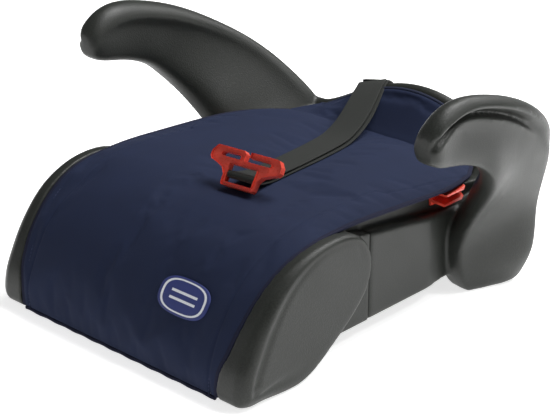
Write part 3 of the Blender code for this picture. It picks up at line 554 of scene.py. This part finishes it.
def trimmed_core():
    """The CAD shell without what would stand out through the finer armrests."""
    bm = bmesh.new()
    bm.from_mesh(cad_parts["seat_shell"].data)
    bmesh.ops.translate(bm, verts=bm.verts, vec=(0, DATUM_Y, 0))
    core = make_object(bm, "shell_core", None, closed=False)
    for (x, y, z), size in TRIMS:
        boxes = bmesh.new()
        for side in (-1, 1):
            place = Matrix.Translation((side * x, y, z)) @ Matrix.Diagonal((*size, 1.0))
            bmesh.ops.create_cube(boxes, size=1.0, matrix=place)
        cut_away(core, make_object(boxes, "trim", None, closed=False))
    return core


def cut_away(ob, cutter):
    """Takes the cutter's space out of an object and removes the cutter."""
    modifier(ob, "BOOLEAN", object=cutter, operation="DIFFERENCE", solver="EXACT")
    apply_all(ob)
    bpy.data.objects.remove(cutter)


def pour(ob, bm):
    """Adds an object's mesh, as its modifiers leave it, to bm and removes the object."""
    bm.from_mesh(apply_all(ob))
    bpy.data.objects.remove(ob)


def soften(ob, voxel):
    """Melts an object's overlapping solids into one skin with small fillets, on the floor."""
    modifier(ob, "REMESH", mode="VOXEL", voxel_size=voxel, use_smooth_shade=True)
    modifier(ob, "SMOOTH", factor=0.5, iterations=5)
    apply_all(ob)
    for v in ob.data.vertices:
        v.co.z = max(v.co.z, 0.0)
    ob.data.shade_smooth()


def make_shell(mat):
    """The moulding as one skin: the CAD solid with finer armrests and a finer wall."""
    bm = bmesh.new()
    for side in (-1, 1):
        arm = bmesh.new()
        loft_into(arm, on_side(arm_rings(), side), ARM_CREASES)
        cage = make_object(arm, "arm_cage", None)
        modifier(cage, "SUBSURF", levels=3, render_levels=3)
        modifier(cage, "DISPLACE", strength=0.0004, mid_level=0.0)
        pour(cage, bm)
    rings = [wall_ring(CORE_HALF * (2 * k / WALL_STEPS - 1)) for k in range(WALL_STEPS + 1)]
    upper = bmesh.new()
    loft_into(upper, rings)
    wall = make_object(upper, "wall", None)
    modifier(wall, "DISPLACE", strength=0.0003, mid_level=0.0)
    pour(wall, bm)
    pour(trimmed_core(), bm)
    bmesh.ops.translate(bm, verts=bm.verts, vec=(0, DATUM_Y, 0))
    shell = make_object(bm, "shell_skin", mat, closed=False)
    soften(shell, SHELL_VOXEL)
    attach(shell, "seat")
    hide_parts("seat_shell")


# ---- the front cheeks ----
# A leaf's outline in side view (Y, Z): from the floor in front, over the top and back down.
LEAF = [
    (0.008, 0.0), (-0.002, 0.009), (0.0, 0.03), (0.008, 0.049), (0.02, 0.07),
    (0.037, 0.0905), (0.054, 0.104), (0.072, 0.1125), (0.09, 0.1175), (0.11, 0.1195),
    (0.129, 0.118), (0.144, 0.112), (0.153, 0.101), (0.157, 0.088), (0.156, 0.073),
    (0.15, 0.059), (0.137, 0.045), (0.122, 0.033), (0.105, 0.021), (0.087, 0.0095),
    (0.068, 0.002), (0.047, 0.0), (0.027, 0.0),
]
LEAF_STEPS = 5
LEAF_OUTER = 0.158
# Where, in points of LEAF, the rolled edge narrows over the front and turns crisp at the top, and
# where it returns under the foot.
ROLL_NARROWS, ROLL_ENDS, ROLL_RETURNS = (3, 9), (10, 13), (19, 23)
ROLL_LOSS = 0.6  # the share of its width that the rolled edge loses
# How far the surface lies inside the outline and under the leaf's face, on either kind of edge.
ROLLED = [(0.0, 0.011), (0.004, 0.004), (0.01, 0.0006), (0.015, 0.0017), (0.021, 0.0)]
CRISP = [(0.0, 0.0022), (0.001, 0.0004), (0.006, 0.0), (0.012, 0.0), (0.02, 0.0)]


def leaf_rings():
    """Rings from the leaf's inner face, round its rolled edge, to the middle of its outer face."""
    outline = smooth(LEAF, LEAF_STEPS, closed=True)
    count = len(outline)
    narrows, ends, returns = [[LEAF_STEPS * point for point in pair]
                              for pair in (ROLL_NARROWS, ROLL_ENDS, ROLL_RETURNS)]
    rings = [[(CORE_HALF + GAP, y, z) for y, z in outline]]
    for (roll_in, roll_drop), (crisp_in, crisp_drop) in zip(smooth(ROLLED, 4), smooth(CRISP, 4)):
        ring = []
        for i in range(count):
            before, after = outline[i - 2], outline[(i + 2) % count]
            run = Vector((after[0] - before[0], after[1] - before[1])).normalized()
            front = max(1.0 - smoothstep(*ends, i), smoothstep(*returns, i))
            width = 1.0 if i > returns[0] else 1.0 - ROLL_LOSS * smoothstep(*narrows, i)
            inset = crisp_in + (roll_in * width - crisp_in) * front
            drop = crisp_drop + (roll_drop * width - crisp_drop) * front
            y, z = outline[i]
            ring.append((LEAF_OUTER - drop, y + run.y * inset, z - run.x * inset))
        rings.append(ring)
    return rings


ROOM_STEPS, ROOM_ABOVE = 60, 0.01


def cover_room():
    """The space that the cover takes up, with a small gap round it and room above it."""
    rows = [[seat_point(r / ROOM_STEPS, across, ROOM_ABOVE, -GAP) for across in (-1, 0, 1)]
            for r in range(ROOM_STEPS + 1)]
    bm = bmesh.new()
    grid_into(bm, rows)
    room = make_object(bm, "cover_room", None, closed=False)
    modifier(room, "SOLIDIFY", thickness=ROOM_ABOVE + COVER_THICK / 2 + HEM_R + GAP, offset=-1)
    apply_all(room)
    return room


# The wall behind a leaf, in side view (Y, Z).
CHEEK_WALL = [
    (0.052, PANEL_BOTTOM), (SEAM_Y - GAP, PANEL_BOTTOM), (SEAM_Y - GAP, 0.1005),
    (0.149, 0.105), (0.121, 0.106), (0.052, 0.0805),
]


def make_cheek(side, mat):
    """A cheek: the rolled leaf and the wall behind it, joined and cut back under the cover."""
    word = "left" if side < 0 else "right"
    bm = bmesh.new()
    loft_into(bm, on_side(leaf_rings(), side))
    wall = [[(x, y, z) for y, z in CHEEK_WALL] for x in (CORE_HALF + GAP, SEAT_HALF)]
    loft_into(bm, on_side(wall, side))
    cheek = make_object(bm, "cheek_skin_" + word, mat)
    modifier(cheek, "REMESH", mode="VOXEL", voxel_size=CHEEK_VOXEL, use_smooth_shade=True)
    apply_all(cheek)
    cut_away(cheek, cover_room())
    soften(cheek, CHEEK_VOXEL)
    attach(cheek, "seat")
    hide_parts("front_cheek_" + word)


# ---- the cover ----
CREASE_Y, SLOPE_TOP_Y = 0.3525, 0.3865
SLOPE_HALF, SLOPE_TAPER = 0.117, 0.012  # half width at the crease, and its loss by the top
SLOPE_LOW, UNDER_WALL = 0.1066, 0.0028  # height at the crease, and below the wall at the top


def slope_point(v, across):
    """A point of the back slope: v is its share of the way up, across runs from -1 to 1."""
    x = (SLOPE_HALF - SLOPE_TAPER * v) * across
    low = SLOPE_LOW + CROWN * (1 - across * across)
    high = max(wall_height(x) - UNDER_WALL, low + 0.0004)
    return x, CREASE_Y + (SLOPE_TOP_Y - CREASE_Y) * v, low + (high - low) * v ** 1.1


# Shallow folds in the cloth: centre (X, Y), half length and half width, direction and depth.
FOLDS = [
    ((-0.06, 0.088), (0.06, 0.01), 12, -0.0012), ((0.02, 0.08), (0.05, 0.01), -6, -0.0006),
    ((0.06, 0.32), (0.05, 0.01), -20, -0.0008), ((-0.08, 0.3), (0.045, 0.009), 24, -0.0008),
    ((0.1, 0.18), (0.03, 0.014), 70, 0.0006), ((-0.105, 0.2), (0.04, 0.012), 84, -0.0007),
]


def fold_height(x, y):
    """The height of all the folds together at a place on the seat."""
    total = 0.0
    for (cx, cy), (length, width), turn, depth in FOLDS:
        a = math.radians(turn)
        along = (x - cx) * math.cos(a) + (y - cy) * math.sin(a)
        over = (y - cy) * math.cos(a) - (x - cx) * math.sin(a)
        total += depth * math.exp(-(along / length) ** 2 - (over / width) ** 2)
    return total


# The side seams of the cover: how far in from its edge, how deep and how wide the channel is.
SEAM_IN, SEAM_DEPTH, SEAM_WIDE = 0.0098, 0.0011, 0.0013
# The cover lies flat this far round the strap, before the strap's end, and round the patch.
BY_STRAP, BEFORE_STRAP, BY_PATCH = 0.008, 0.02, 0.004
CLIP_ROOM = (0.05, 0.045)


def under_something(x, y, z):
    """Whether a point of the cover lies under the strap, the clip or the sewn patch."""
    strap_x = lookup([(p[0], p[1]) for p in reversed(STRAP_RUN)], y)
    if y > STRAP_RUN[-1][0] - BEFORE_STRAP and abs(x - strap_x) < STRAP_WIDTH / 2 + BY_STRAP:
        return True
    if abs(x - CLIP_BAR.x) < CLIP_ROOM[0] and abs(y - CLIP_BAR.y) < CLIP_ROOM[1]:
        return True
    near_patch = abs(x - LABEL_X) < LABEL_HALF[0] + BY_PATCH
    return near_patch and y < 0.1 and LABEL_Z[0] - BY_PATCH < z < LABEL_Z[1] + BY_PATCH


CLOTH_MOMENTS = 20


def settle(ob, held, pressure, slack, limit):
    """Cloth blown up a little from below, held where it is sewn or pressed down, and capped."""
    before = [v.co.copy() for v in ob.data.vertices]
    ob.vertex_groups.new(name="held").add(held, 1.0, "REPLACE")
    cloth = modifier(ob, "CLOTH")
    values = cloth.settings
    values.quality = 8
    values.mass = 0.2
    values.tension_stiffness = 20
    values.compression_stiffness = 20
    values.shear_stiffness = 8
    values.bending_stiffness = 0.4
    values.use_pressure = True
    values.uniform_pressure_force = pressure
    values.shrink_min = -slack
    values.vertex_group_mass = "held"
    values.effector_weights.gravity = 0.0
    cloth.collision_settings.use_collision = False
    cloth.point_cache.frame_start = 1
    cloth.point_cache.frame_end = CLOTH_MOMENTS
    for moment in range(1, CLOTH_MOMENTS + 1):
        bpy.context.scene.frame_set(moment)
    apply_all(ob)
    bpy.context.scene.frame_set(1)
    for v, old in zip(ob.data.vertices, before):
        move = v.co - old
        if move.length > limit:
            v.co = old + move * (limit / move.length)


def seam_depth(x, y):
    """How far the sewn channel along each side edge of the cover is pulled in."""
    edge = lookup(COVER_HALF, y) - abs(x)
    return SEAM_DEPTH * math.exp(-((edge - SEAM_IN) / SEAM_WIDE) ** 2)


def cover_panel(name, rows, uvs, held, pressure, slack, limit, mat):
    """A grid of points that settles as cloth, held at its edges and where held says."""
    bm = bmesh.new()
    grid_into(bm, rows, uvs)
    ob = make_object(bm, name, mat, closed=False)
    columns = len(rows[0])
    pins = []
    for r, row in enumerate(rows):
        for c in range(columns):
            edge = r in (0, len(rows) - 1) or c in (0, columns - 1)
            if edge or (held and held(*row[c])):
                pins.append(r * columns + c)
    settle(ob, pins, pressure, slack, limit)
    modifier(ob, "SUBSURF", levels=2, render_levels=2, boundary_smooth="PRESERVE_CORNERS")
    apply_all(ob)
    for v, n in zip(ob.data.vertices, [tuple(v.normal) for v in ob.data.vertices]):
        v.co -= Vector(n) * seam_depth(v.co.x, v.co.y)
    modifier(ob, "SOLIDIFY", thickness=COVER_THICK, offset=-1)
    apply_all(ob)
    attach(ob, "seat")
    return ob


# Points across both panels, and up the seat panel and the back panel.
COVER_COLUMNS, SEAT_ROWS, BACK_ROWS = 60, 96, 16
COVER_TUCK, PAD_RISE = 0.0014, 0.0006


def make_cover(mats):
    """The seat panel and the back panel, padded, each with its edge tucked under the binding."""
    inset = 2 * HEM_R + GAP - COVER_TUCK
    steps_across = [2 * c / COVER_COLUMNS - 1 for c in range(COVER_COLUMNS + 1)]
    rows, uvs = [], []
    for r in range(SEAT_ROWS + 1):
        share = r / SEAT_ROWS
        row = []
        for across in steps_across:
            x, y, z = seat_point(share, across, 0.0, inset)
            pad = (1 - across ** 8) * smoothstep(0.0, 0.05, share) * smoothstep(1.0, 0.96, share)
            row.append(seat_point(share, across, fold_height(x, y) + PAD_RISE * pad, inset))
        rows.append(row)
        uvs.append([(p[0], share * SIDE_LENGTH) for p in row])
    seat = cover_panel("seat_cover", rows, uvs, under_something, 4.0, 0.012, 0.005, mats["fabric"])
    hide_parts("cover_seat_panel")

    # The back panel's first row is tucked under the seat panel's rear edge.
    foot = [slope_point(0.0, across) for across in steps_across]
    rows = [[(x, y - 0.005, z - 0.0016) for x, y, z in foot]]
    uvs = [[(p[0], -0.003) for p in foot]]
    for r in range(BACK_ROWS + 1):
        rows.append([slope_point(r / BACK_ROWS, across) for across in steps_across])
        uvs.append([(p[0], r / BACK_ROWS * 0.05) for p in rows[-1]])
    back = cover_panel("back_cover", rows, uvs, None, 3.0, 0.01, 0.0025, mats["fabric"])
    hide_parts("cover_back_panel")


BAND_POINTS = 16


def band(name, path, ups, width, thick, mat, node):
    """A folded binding along a path: a flattened oval, width across and thick along ups."""
    bm = bmesh.new()
    points = [Vector(p) for p in path]
    rings = []
    for i, p in enumerate(points):
        run = (points[min(i + 1, len(points) - 1)] - points[max(i - 1, 0)]).normalized()
        up = Vector(ups[i])
        up = (up - run * up.dot(run)).normalized()
        side = run.cross(up)
        ring = []
        for k in range(BAND_POINTS):
            a = 2 * math.pi * k / BAND_POINTS
            ca, sa = math.cos(a), math.sin(a)
            flat = abs(ca) ** 0.7 * (1 if ca > 0 else -1)
            tall = abs(sa) ** 0.8 * (1 if sa > 0 else -1)
            ring.append(tuple(p + side * flat * width / 2 + up * tall * thick / 2))
        rings.append(ring)
    loft_into(bm, rings)
    bm.loops.layers.uv.verify()
    ob = make_object(bm, name, mat)
    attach(ob, "seat")
    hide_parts(node)


STITCH_PITCH, STITCH_LENGTH, STITCH_R = 0.0034, 0.0024, 0.00028
# A stitch's radius along it, as shares of its length and of STITCH_R.
STITCH = ((-0.5, 0.15), (-0.42, 0.8), (-0.2, 1.0), (0.2, 1.0), (0.42, 0.8), (0.5, 0.15))


def stitches(name, path, mat):
    """A row of thread stitches laid along a path on the seat panel."""
    length = sum(math.dist(p, q) for p, q in zip(path, path[1:]))
    points = resample(path, max(2, int(length / STITCH_PITCH)))
    bm = bmesh.new()
    for p, q in zip(points, points[1:]):
        run = (Vector(q) - Vector(p)).normalized()
        up = Vector(side_normal(p[1]))
        up = (up - run * up.dot(run)).normalized()
        side = run.cross(up)
        rings = []
        for t, r in STITCH:
            sunk = up * STITCH_R * (0.9 - 0.9 * (1 - abs(2 * t) ** 3))
            centre = Vector(p) + run * (t * STITCH_LENGTH) - sunk
            rings.append([tuple(centre + (side * math.cos(a) + up * math.sin(a)) * STITCH_R * r)
                          for a in [math.pi * k / 3 for k in range(6)]])
        loft_into(bm, rings)
    ob = make_object(bm, name, mat)
    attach(ob, "seat")


def side_normal(y):
    """The seat panel's normal at a place along its side view."""
    i = min(range(SIDE_COUNT), key=lambda k: abs(SIDE[k][0] - y))
    n = SIDE_NORMALS[i]
    return (0.0, n.x, n.y)


STITCH_LIFT = 0.0012


def make_hems(mats):
    """The bindings round the cover, and the seams along its sides."""
    for side, word in ((-1, "left"), (1, "right")):
        path, ups = [], []
        for i in range(0, SIDE_COUNT, 2):
            y, z = SIDE[i]
            n = SIDE_NORMALS[i]
            x = lookup(COVER_HALF, y) - HEM_R - GAP
            path.append((side * x, y - n.x * COVER_THICK / 2, z - n.y * COVER_THICK / 2))
            ups.append((0.0, n.x, n.y))
        path = [tuple(v) for v in zip(*[soft(axis) for axis in zip(*path)])]
        band("binding_" + word, path, ups, 0.0052, 0.0032, mats["binding"], "cover_hem_" + word)
        line = [(side * (abs(p[0]) + HEM_R - SEAM_IN), p[1] + up[1] * STITCH_LIFT,
                 p[2] + up[2] * STITCH_LIFT) for p, up in zip(path, ups)]
        stitches("stitches_%s_1" % word, line, mats["thread"])
    y, z = SIDE[0]
    ends = lookup(COVER_HALF, y) - 2 * HEM_R - GAP
    low = z - HEM_R - GAP
    path = [(ends * (-1 + k / 24), y + COVER_THICK / 2, low + 0.0004 * math.sin(k * 1.3))
            for k in range(49)]
    ups = [(0, -1, 0)] * len(path)
    band("binding_front", path, ups, 0.0036, 0.0034, mats["binding"], "cover_hem_front")
    path, ups = [], []
    for k in range(61):
        across = k / 30 - 1
        below, top = Vector(slope_point(0.8, across)), Vector(slope_point(1.0, across))
        run = Vector((0, top.y - below.y, top.z - below.z)).normalized()
        up = Vector((0, -run.z, run.y))
        path.append(tuple(top + run * (HEM_R + GAP - 0.0012) - up * COVER_THICK / 2))
        ups.append(tuple(up))
    band("binding_back", path, ups, 0.0034, 0.0032, mats["piping"], "cover_hem_back")


def soft(values, passes=3):
    """Evens out a list of numbers, with its ends held."""
    values = list(values)
    for _ in range(passes):
        inner = [(a + 2 * b + c) / 4 for a, b, c in zip(values, values[1:], values[2:])]
        values = [values[0]] + inner + [values[-1]]
    return values


# The patch: points round it, rings across its face, and its outermost rings (size, lift).
PATCH_POINTS, PATCH_RINGS, PATCH_LIFT = 72, 10, 0.0008
PATCH_EDGE = [(1.0, 0.0), (1.0, 0.0009), (0.985, 0.0013)]


def make_patch(mats):
    """The plain patch, a rounded oblong that lies on the cover's front."""
    middle = [k for k in range(SIDE_COUNT) if SIDE[k][1] <= (LABEL_Z[0] + LABEL_Z[1]) / 2][-1]
    bm = bmesh.new()
    layer = bm.loops.layers.uv.verify()

    def place(u, v, lift):
        share = (middle + v / SIDE_LENGTH * (SIDE_COUNT - 1)) / (SIDE_COUNT - 1)
        y = SIDE[int(share * (SIDE_COUNT - 1))][0]
        half = lookup(COVER_HALF, y)
        return seat_point(share, (LABEL_X + u) / half, lift + PATCH_LIFT)

    def ring(size, lift):
        verts, uvs = [], []
        for k in range(PATCH_POINTS):
            a = 2 * math.pi * k / PATCH_POINTS
            c, s = math.cos(a), math.sin(a)
            r = (abs(c) ** LABEL_POWER + abs(s) ** LABEL_POWER) ** (-1 / LABEL_POWER)
            u, v = LABEL_HALF[0] * r * c * size, LABEL_HALF[1] * r * s * size
            verts.append(bm.verts.new(place(u, v, lift)))
            uvs.append((u, v))
        return verts, uvs

    size, lift = PATCH_EDGE[-1]
    face_rings = [(size * (1 - k / PATCH_RINGS), lift) for k in range(1, PATCH_RINGS)]
    made = [ring(*level) for level in PATCH_EDGE + face_rings]
    for (a, ua), (b, ub) in zip(made, made[1:]):
        for k in range(PATCH_POINTS):
            j = (k + 1) % PATCH_POINTS
            face = bm.faces.new((a[k], a[j], b[j], b[k]))
            for loop, uv in zip(face.loops, (ua[k], ua[j], ub[j], ub[k])):
                loop[layer].uv = uv
    for (verts, uvs), flip in ((made[-1], False), (made[0], True)):
        face = bm.faces.new(verts[::-1] if flip else verts)
        for loop, uv in zip(face.loops, uvs[::-1] if flip else uvs):
            loop[layer].uv = uv
    ob = make_object(bm, "plain_patch", mats["patch"])
    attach(ob, "seat")
    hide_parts("label_patch")


# ---- the strap ----
# The strap over the seat: Y, X of its middle, and how far its upper layer lies above the lower.
STRAP_RUN = [
    (0.396, -0.0435, 0.0019), (0.385, -0.0375, 0.003), (0.365, -0.0275, 0.0048),
    (0.34, -0.016, 0.0048), (0.31, -0.006, 0.0036), (0.27, 0.004, 0.0028),
    (0.23, 0.0125, 0.0024), (0.19, 0.02, 0.0026), (0.156, 0.0268, 0.0042),
]


def fold_level():
    """Height of the wall under the middle of the strap, which rests on its +X edge there."""
    return wall_height(FOLD_X + STRAP_WIDTH / 2) - FOLD_TILT * STRAP_WIDTH / 2


STRAP_LIFTS_Y = 0.29  # behind this the strap leaves the seat and climbs to the wall's top


def strap_floor(y):
    """Height of the strap's lower layer."""
    on_seat = lookup(SIDE_TOP, y) + CROWN + GAP + STRAP_THICK / 2 + 0.0006
    fold = fold_level() + 0.0016
    climb = [(STRAP_LIFTS_Y, on_seat), (0.33, 0.1255), (0.365, 0.135), (0.386, fold - 0.0006),
             (0.396, fold)]
    return on_seat if y < STRAP_LIFTS_Y else lookup(climb, y)


def webbing(name, path, across, mat, thick):
    """A flat band with rounded selvedges along a path."""
    half = STRAP_WIDTH / 2
    outline = [(-half, 0.0), (-half * 0.985, 0.42), (-half * 0.93, 0.5)]
    outline += [(half * x, 0.5) for x in (-0.6, -0.3, 0.0, 0.3, 0.6)]
    outline += [(half * 0.93, 0.5), (half * 0.985, 0.42), (half, 0.0)]
    outline += [(x, -t) for x, t in outline[-2:0:-1]]
    bm = bmesh.new()
    rings = []
    count = len(path)
    for i, (p, w) in enumerate(zip(path, across)):
        run = (path[min(i + 1, count - 1)] - path[max(i - 1, 0)]).normalized()
        side = (w - run * w.dot(run)).normalized()
        up = side.cross(run)
        rings.append([tuple(p + side * x + up * t * thick) for x, t in outline])
    loft_into(bm, rings)
    bm.loops.layers.uv.verify()
    ob = make_object(bm, name, mat, angle=80)
    return ob


LAYER_SHIFT = 0.0026  # the lower layer shows this much beside the upper one
LOOP_STEPS = 16
# The strap's rear run, down from the fold: X and Z from the fold's middle, Y, and a share of the
# fold's slope; then the same below the wall's top, with Z from the floor.
REAR_TOP = [
    (0.0, 0.3985, 0.003, 1.0), (0.0, 0.4035, 0.002, 1.0), (0.0, 0.409, -0.0004, 1.0),
    (-0.0005, 0.4135, -0.005, 0.8), (-0.001, REAR_RUN_Y, -0.012, 0.5),
]
REAR_LOW = [
    (-0.003, REAR_RUN_Y, 0.115, 0.0), (-0.0078, REAR_RUN_Y, 0.08, 0.0),
    (-0.01, LOW_RUN_Y, 0.062, 0.0), (-0.0127, LOW_RUN_Y, 0.034, 0.0),
]


def make_strap(mats):
    """The doubled front run with its loop round the clip's pin, and the rear run."""
    placing = clip_frame().to_3x3()
    along, up, front = [placing @ Vector(v) for v in ((1, 0, 0), (0, 1, 0), (0, 0, 1))]
    pin = CLIP_BAR + up * PIN_W
    runs = smooth(STRAP_RUN, 4)
    upper, lower, widths = [], [], []
    for i, (y, x, rise) in enumerate(runs):
        z = strap_floor(y)
        near = i / (len(runs) - 1)
        lower.append(Vector((x + LAYER_SHIFT * min(1.0, 4 * (1 - near)), y, z)))
        upper.append(Vector((x, y, z + rise)))
        turn = 0.25 * near ** 0.5 * (1 - near) + along.y * near
        tilt = FOLD_TILT * max(0.0, min(1.0, (y - 0.3415) / 0.045))
        widths.append(Vector((1, turn, tilt)).normalized())
    loop = [pin + up * LOOP_R - front * 0.009]
    for k in range(LOOP_STEPS + 1):
        a = math.pi * k / LOOP_STEPS
        loop.append(pin + (up * math.cos(a) + front * math.sin(a)) * LOOP_R)
    loop.append(pin - up * LOOP_R - front * 0.011)
    path = upper + loop + lower[::-1]
    across = widths + [along] * len(loop) + widths[::-1]
    path = [Vector(p) for p in zip(*[soft(axis, 2) for axis in zip(*[tuple(p) for p in path])])]
    front_run = webbing("webbing_front", path, across, mats["webbing"], STRAP_THICK)
    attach(front_run, "strap")
    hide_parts("strap_front_run")

    top = fold_level()
    rear = [(FOLD_X + x, y, top + z, tilt) for x, y, z, tilt in REAR_TOP]
    rear += [(FOLD_X + x, y, z, tilt) for x, y, z, tilt in REAR_LOW]
    rear = smooth(rear, 6)
    path = [Vector(p[:3]) for p in rear]
    across = [Vector((1, 0, FOLD_TILT * p[3])).normalized() for p in rear]
    rear_run = webbing("webbing_rear", path, across, mats["webbing"], 2 * STRAP_THICK)
    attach(rear_run, "seat")
    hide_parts("strap_rear_run")


def round_edges(ob, width):
    modifier(ob, "BEVEL", width=width, segments=2, limit_method="ANGLE",
             angle_limit=math.radians(40))


def clip_frame():
    """Turns the clip's (u, w) plane into its place: yawed, and leaning back."""
    return Matrix.Rotation(CLIP_YAW, 4, "Z") @ Matrix.Rotation(CLIP_TILT, 4, "X")


RIM_WIDE, RIM_HIGH = 0.0011, 0.002


def make_clip(mat):
    """The clip, with a raised rim round its outline, its slots and its window."""
    bm = bmesh.new()
    bm.from_mesh(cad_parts["shoulder_clip"].data)
    front = clip_frame().to_3x3() @ Vector((0, 0, 1))
    for way in (1, -1):
        bm.normal_update()
        faces = [f for f in bm.faces if f.normal.dot(front) * way > 0.98]
        bmesh.ops.inset_region(bm, faces=faces, thickness=RIM_WIDE, depth=-RIM_HIGH,
                               use_even_offset=True)
    bmesh.ops.translate(bm, verts=bm.verts, vec=(0, DATUM_Y, 0))
    clip = make_object(bm, "clip_skin", mat, angle=40)
    round_edges(clip, 0.0003)
    apply_all(clip)
    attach(clip, "clip")
    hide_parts("shoulder_clip")


# ---- CAD nodes that keep their own shape ----
KEPT = {
    "seat_foam": "foam", "backrest_foam": "foam", "strap_keeper": "black", "strap_bracket": "black",
    "belt_guide_left": "red", "belt_guide_right": "red",
    "bracket_screw_left": "steel", "bracket_screw_right": "steel",
    "guide_screw_left_front": "steel", "guide_screw_left_rear": "steel",
    "guide_screw_right_front": "steel", "guide_screw_right_rear": "steel",
}


EDGE_ROUND = {"red": 0.0005, "black": 0.0005, "steel": 0.0002}


def dress_kept_nodes(mats):
    """Gives each kept node its material and, unless it is foam, rounded edges."""
    for node, word in KEPT.items():
        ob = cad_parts[node]
        ob.data.materials.clear()
        ob.data.materials.append(mats[word])
        if word in EDGE_ROUND:
            round_edges(ob, EDGE_ROUND[word])


# ---- floor, lights and camera ----
FLOOR_HALF, FLOOR_GLOW, WORLD_GLOW = 6.0, 0.72, 0.13


def make_floor():
    """A plain pale floor that glows a little."""
    bm = bmesh.new()
    bmesh.ops.create_grid(bm, x_segments=1, y_segments=1, size=FLOOR_HALF)
    floor = make_object(bm, "floor", None)
    m = Nodes("floor_paper", (0.93, 0.93, 0.93), 0.75)
    m.colour(m.mix(m.noise(3.0), (0.92, 0.92, 0.92), (0.94, 0.94, 0.94)))
    m.shader.inputs["Emission Color"].default_value = (1, 1, 1, 1)
    m.shader.inputs["Emission Strength"].default_value = FLOOR_GLOW
    floor.data.materials.append(m.mat)


# Lights: name, place, target, size in metres and power in watts.
LIGHTS = [
    ("top", (0.3, 0.8, 1.8), (0, 0, 0.1), (1.0, 1.0), 37),
    ("side", (1.6, 0.7, 0.8), (0.15, 0.1, 0.12), (0.6, 1.0), 4),
    ("key", (1.15, 0.55, 1.7), (0.2, 0.1, 0.2), (0.22, 0.22), 9),
    ("back", (0.05, 1.9, 1.25), (0.15, 0.1, 0.15), (1.4, 0.35), 9),
    ("front", (-0.6, -1.8, 0.9), (0, 0, 0.1), (1.2, 0.8), 1.6),
]


def area_light(name, place, target, size, power):
    data = bpy.data.lights.new(name, "AREA")
    data.shape = "RECTANGLE"
    data.size, data.size_y = size
    data.energy = power
    ob = bpy.data.objects.new(name, data)
    bpy.context.scene.collection.objects.link(ob)
    ob.location = place
    ob.rotation_euler = (Vector(target) - Vector(place)).to_track_quat("-Z", "Y").to_euler()


def make_lights():
    """Soft white lights over a plain grey world."""
    world = bpy.data.worlds.new("studio")
    bpy.context.scene.world = world
    world.use_nodes = True
    background = world.node_tree.nodes["Background"]
    background.inputs["Color"].default_value = (1.0, 1.0, 1.0, 1)
    background.inputs["Strength"].default_value = WORLD_GLOW
    bpy.context.scene.view_settings.view_transform = "Standard"
    for light in LIGHTS:
        area_light(*light)


CAMERA_AT = Vector((0.9518, -0.8132, 0.6677))
CAMERA_AZ, CAMERA_EL = math.radians(43.1), math.radians(23.1)
CAMERA_LENS, CAMERA_SENSOR = 105.6, 36.0


def make_camera():
    data = bpy.data.cameras.new("camera")
    data.lens = CAMERA_LENS
    data.sensor_width = CAMERA_SENSOR
    data.clip_start = 0.05
    camera = bpy.data.objects.new("camera", data)
    bpy.context.scene.collection.objects.link(camera)
    camera.location = CAMERA_AT - Vector((0, DATUM_Y, 0))
    camera.rotation_euler = (math.pi / 2 - CAMERA_EL, 0.0, CAMERA_AZ)
    bpy.context.scene.camera = camera


# ---- main ----
def main():
    mats = {
        "shell": shell_plastic(),
        "fabric": woven("navy_fabric", (0.008, 0.0105, 0.025), (0.015, 0.025, 0.068),
                        pitch=0.0011, strength=0.35, sheen=0.08),
        "binding": woven("dark_binding", (0.007, 0.008, 0.02), (0.014, 0.016, 0.042),
                         pitch=0.0008, strength=0.4, sheen=0.05),
        "piping": woven("navy_piping", (0.012, 0.015, 0.03), (0.03, 0.038, 0.075),
                        pitch=0.0008, strength=0.4, sheen=0.25),
        "thread": thread_cloth(),
        "foam": pale_foam(),
        "patch": patch_cloth(),
        "webbing": webbing_cloth(),
        "red": red_plastic(),
        "black": black_plastic(),
        "steel": zinc_steel(),
    }
    make_camera()
    make_lights()
    make_floor()
    make_shell(mats["shell"])
    for side in (-1, 1):
        make_cheek(side, mats["shell"])
    make_cover(mats)
    make_hems(mats)
    make_patch(mats)
    make_strap(mats)
    make_clip(mats["red"])
    dress_kept_nodes(mats)


main()
